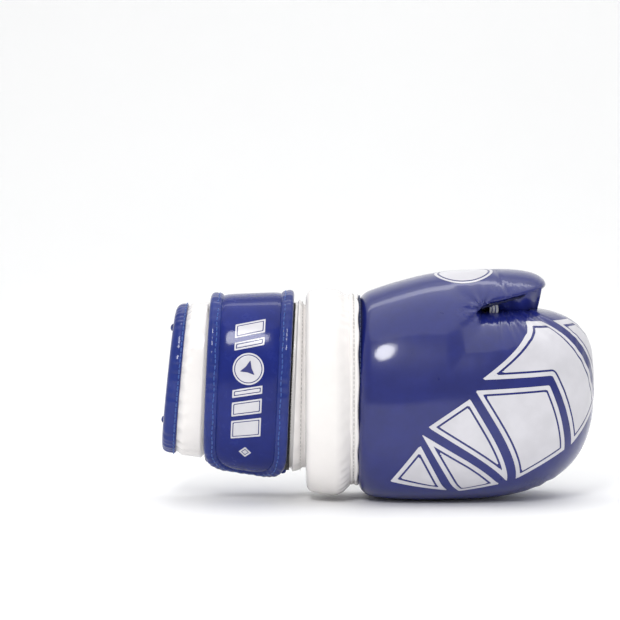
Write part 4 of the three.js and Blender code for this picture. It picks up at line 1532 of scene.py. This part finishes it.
def add_softbox(name, stand, target, size, power):
    """An oval soft light at stand, in metres, turned to the target."""
    data = bpy.data.lights.new(name, "AREA")
    data.shape = "ELLIPSE"
    data.size, data.size_y = size
    data.energy = power
    lamp = bpy.data.objects.new(name, data)
    lamp.location = stand
    lamp.rotation_euler = (Vector(target) - Vector(stand)).to_track_quat("-Z", "Y").to_euler()
    bpy.context.scene.collection.objects.link(lamp)


def add_floor():
    """A pale sweep: floor, curve and wall."""
    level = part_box("back_side_panel")[0].z - 0.0003
    bend = np.linspace(0, math.pi / 2, 24)
    profile = [(-3.0, 0.0), *((1.6 + math.sin(a), 1.0 - math.cos(a)) for a in bend), (2.6, 3.5)]
    verts = [(x, y, level + z) for y, z in profile for x in (-4.0, 4.0)]
    faces = [(2 * i, 2 * i + 1, 2 * i + 3, 2 * i + 2) for i in range(len(profile) - 1)]
    mesh = bpy.data.meshes.new("floor")
    mesh.from_pydata(verts, [], faces)
    for face in mesh.polygons:
        face.use_smooth = True
    floor = bpy.data.objects.new("floor", mesh)
    n = Nodes("pale_floor")
    grain = n.noise(n.where(), 3.0)
    mesh.materials.append(
        n.set(Base_Color=n.mix(grain, (0.92, 0.92, 0.92, 1), (0.95, 0.95, 0.95, 1)), Roughness=0.7)
    )
    bpy.context.scene.collection.objects.link(floor)


def add_world():
    """A bright room, a little dimmer on the side that the back of the hand faces."""
    world = bpy.data.worlds.new("studio")
    world.use_nodes = True
    tree = world.node_tree
    where = tree.nodes.new("ShaderNodeTexCoord")
    split = tree.nodes.new("ShaderNodeSeparateXYZ")
    spread = tree.nodes.new("ShaderNodeMapRange")
    spread.interpolation_type = "SMOOTHSTEP"
    for key, value in (("From Min", -0.9), ("From Max", 0.4), ("To Min", 0.5), ("To Max", 0.98)):
        spread.inputs[key].default_value = value
    tree.links.new(where.outputs["Generated"], split.inputs[0])
    tree.links.new(split.outputs[1], spread.inputs["Value"])
    tree.links.new(spread.outputs[0], tree.nodes["Background"].inputs[1])
    tree.nodes["Background"].inputs[0].default_value = (0.99, 0.995, 1.0, 1)
    bpy.context.scene.world = world


bpy.context.scene.view_settings.view_transform = "Standard"
add_camera()
add_floor()
add_world()
SOFTBOXES = (  # (name, stand, target, size, watts), in metres
    ("key", (-0.25, -1.05, 0.86), (0.02, 0, 0.07), (0.32, 0.4), 7),
    ("top", (0.1, -0.2, 1.6), (0, 0, 0.05), (2.4, 1.8), 9),
    ("sweep", (0, 0.9, 2.1), (0, 2.2, 0.5), (2.5, 0.8), 15),
)
for softbox in SOFTBOXES:
    add_softbox(*softbox)
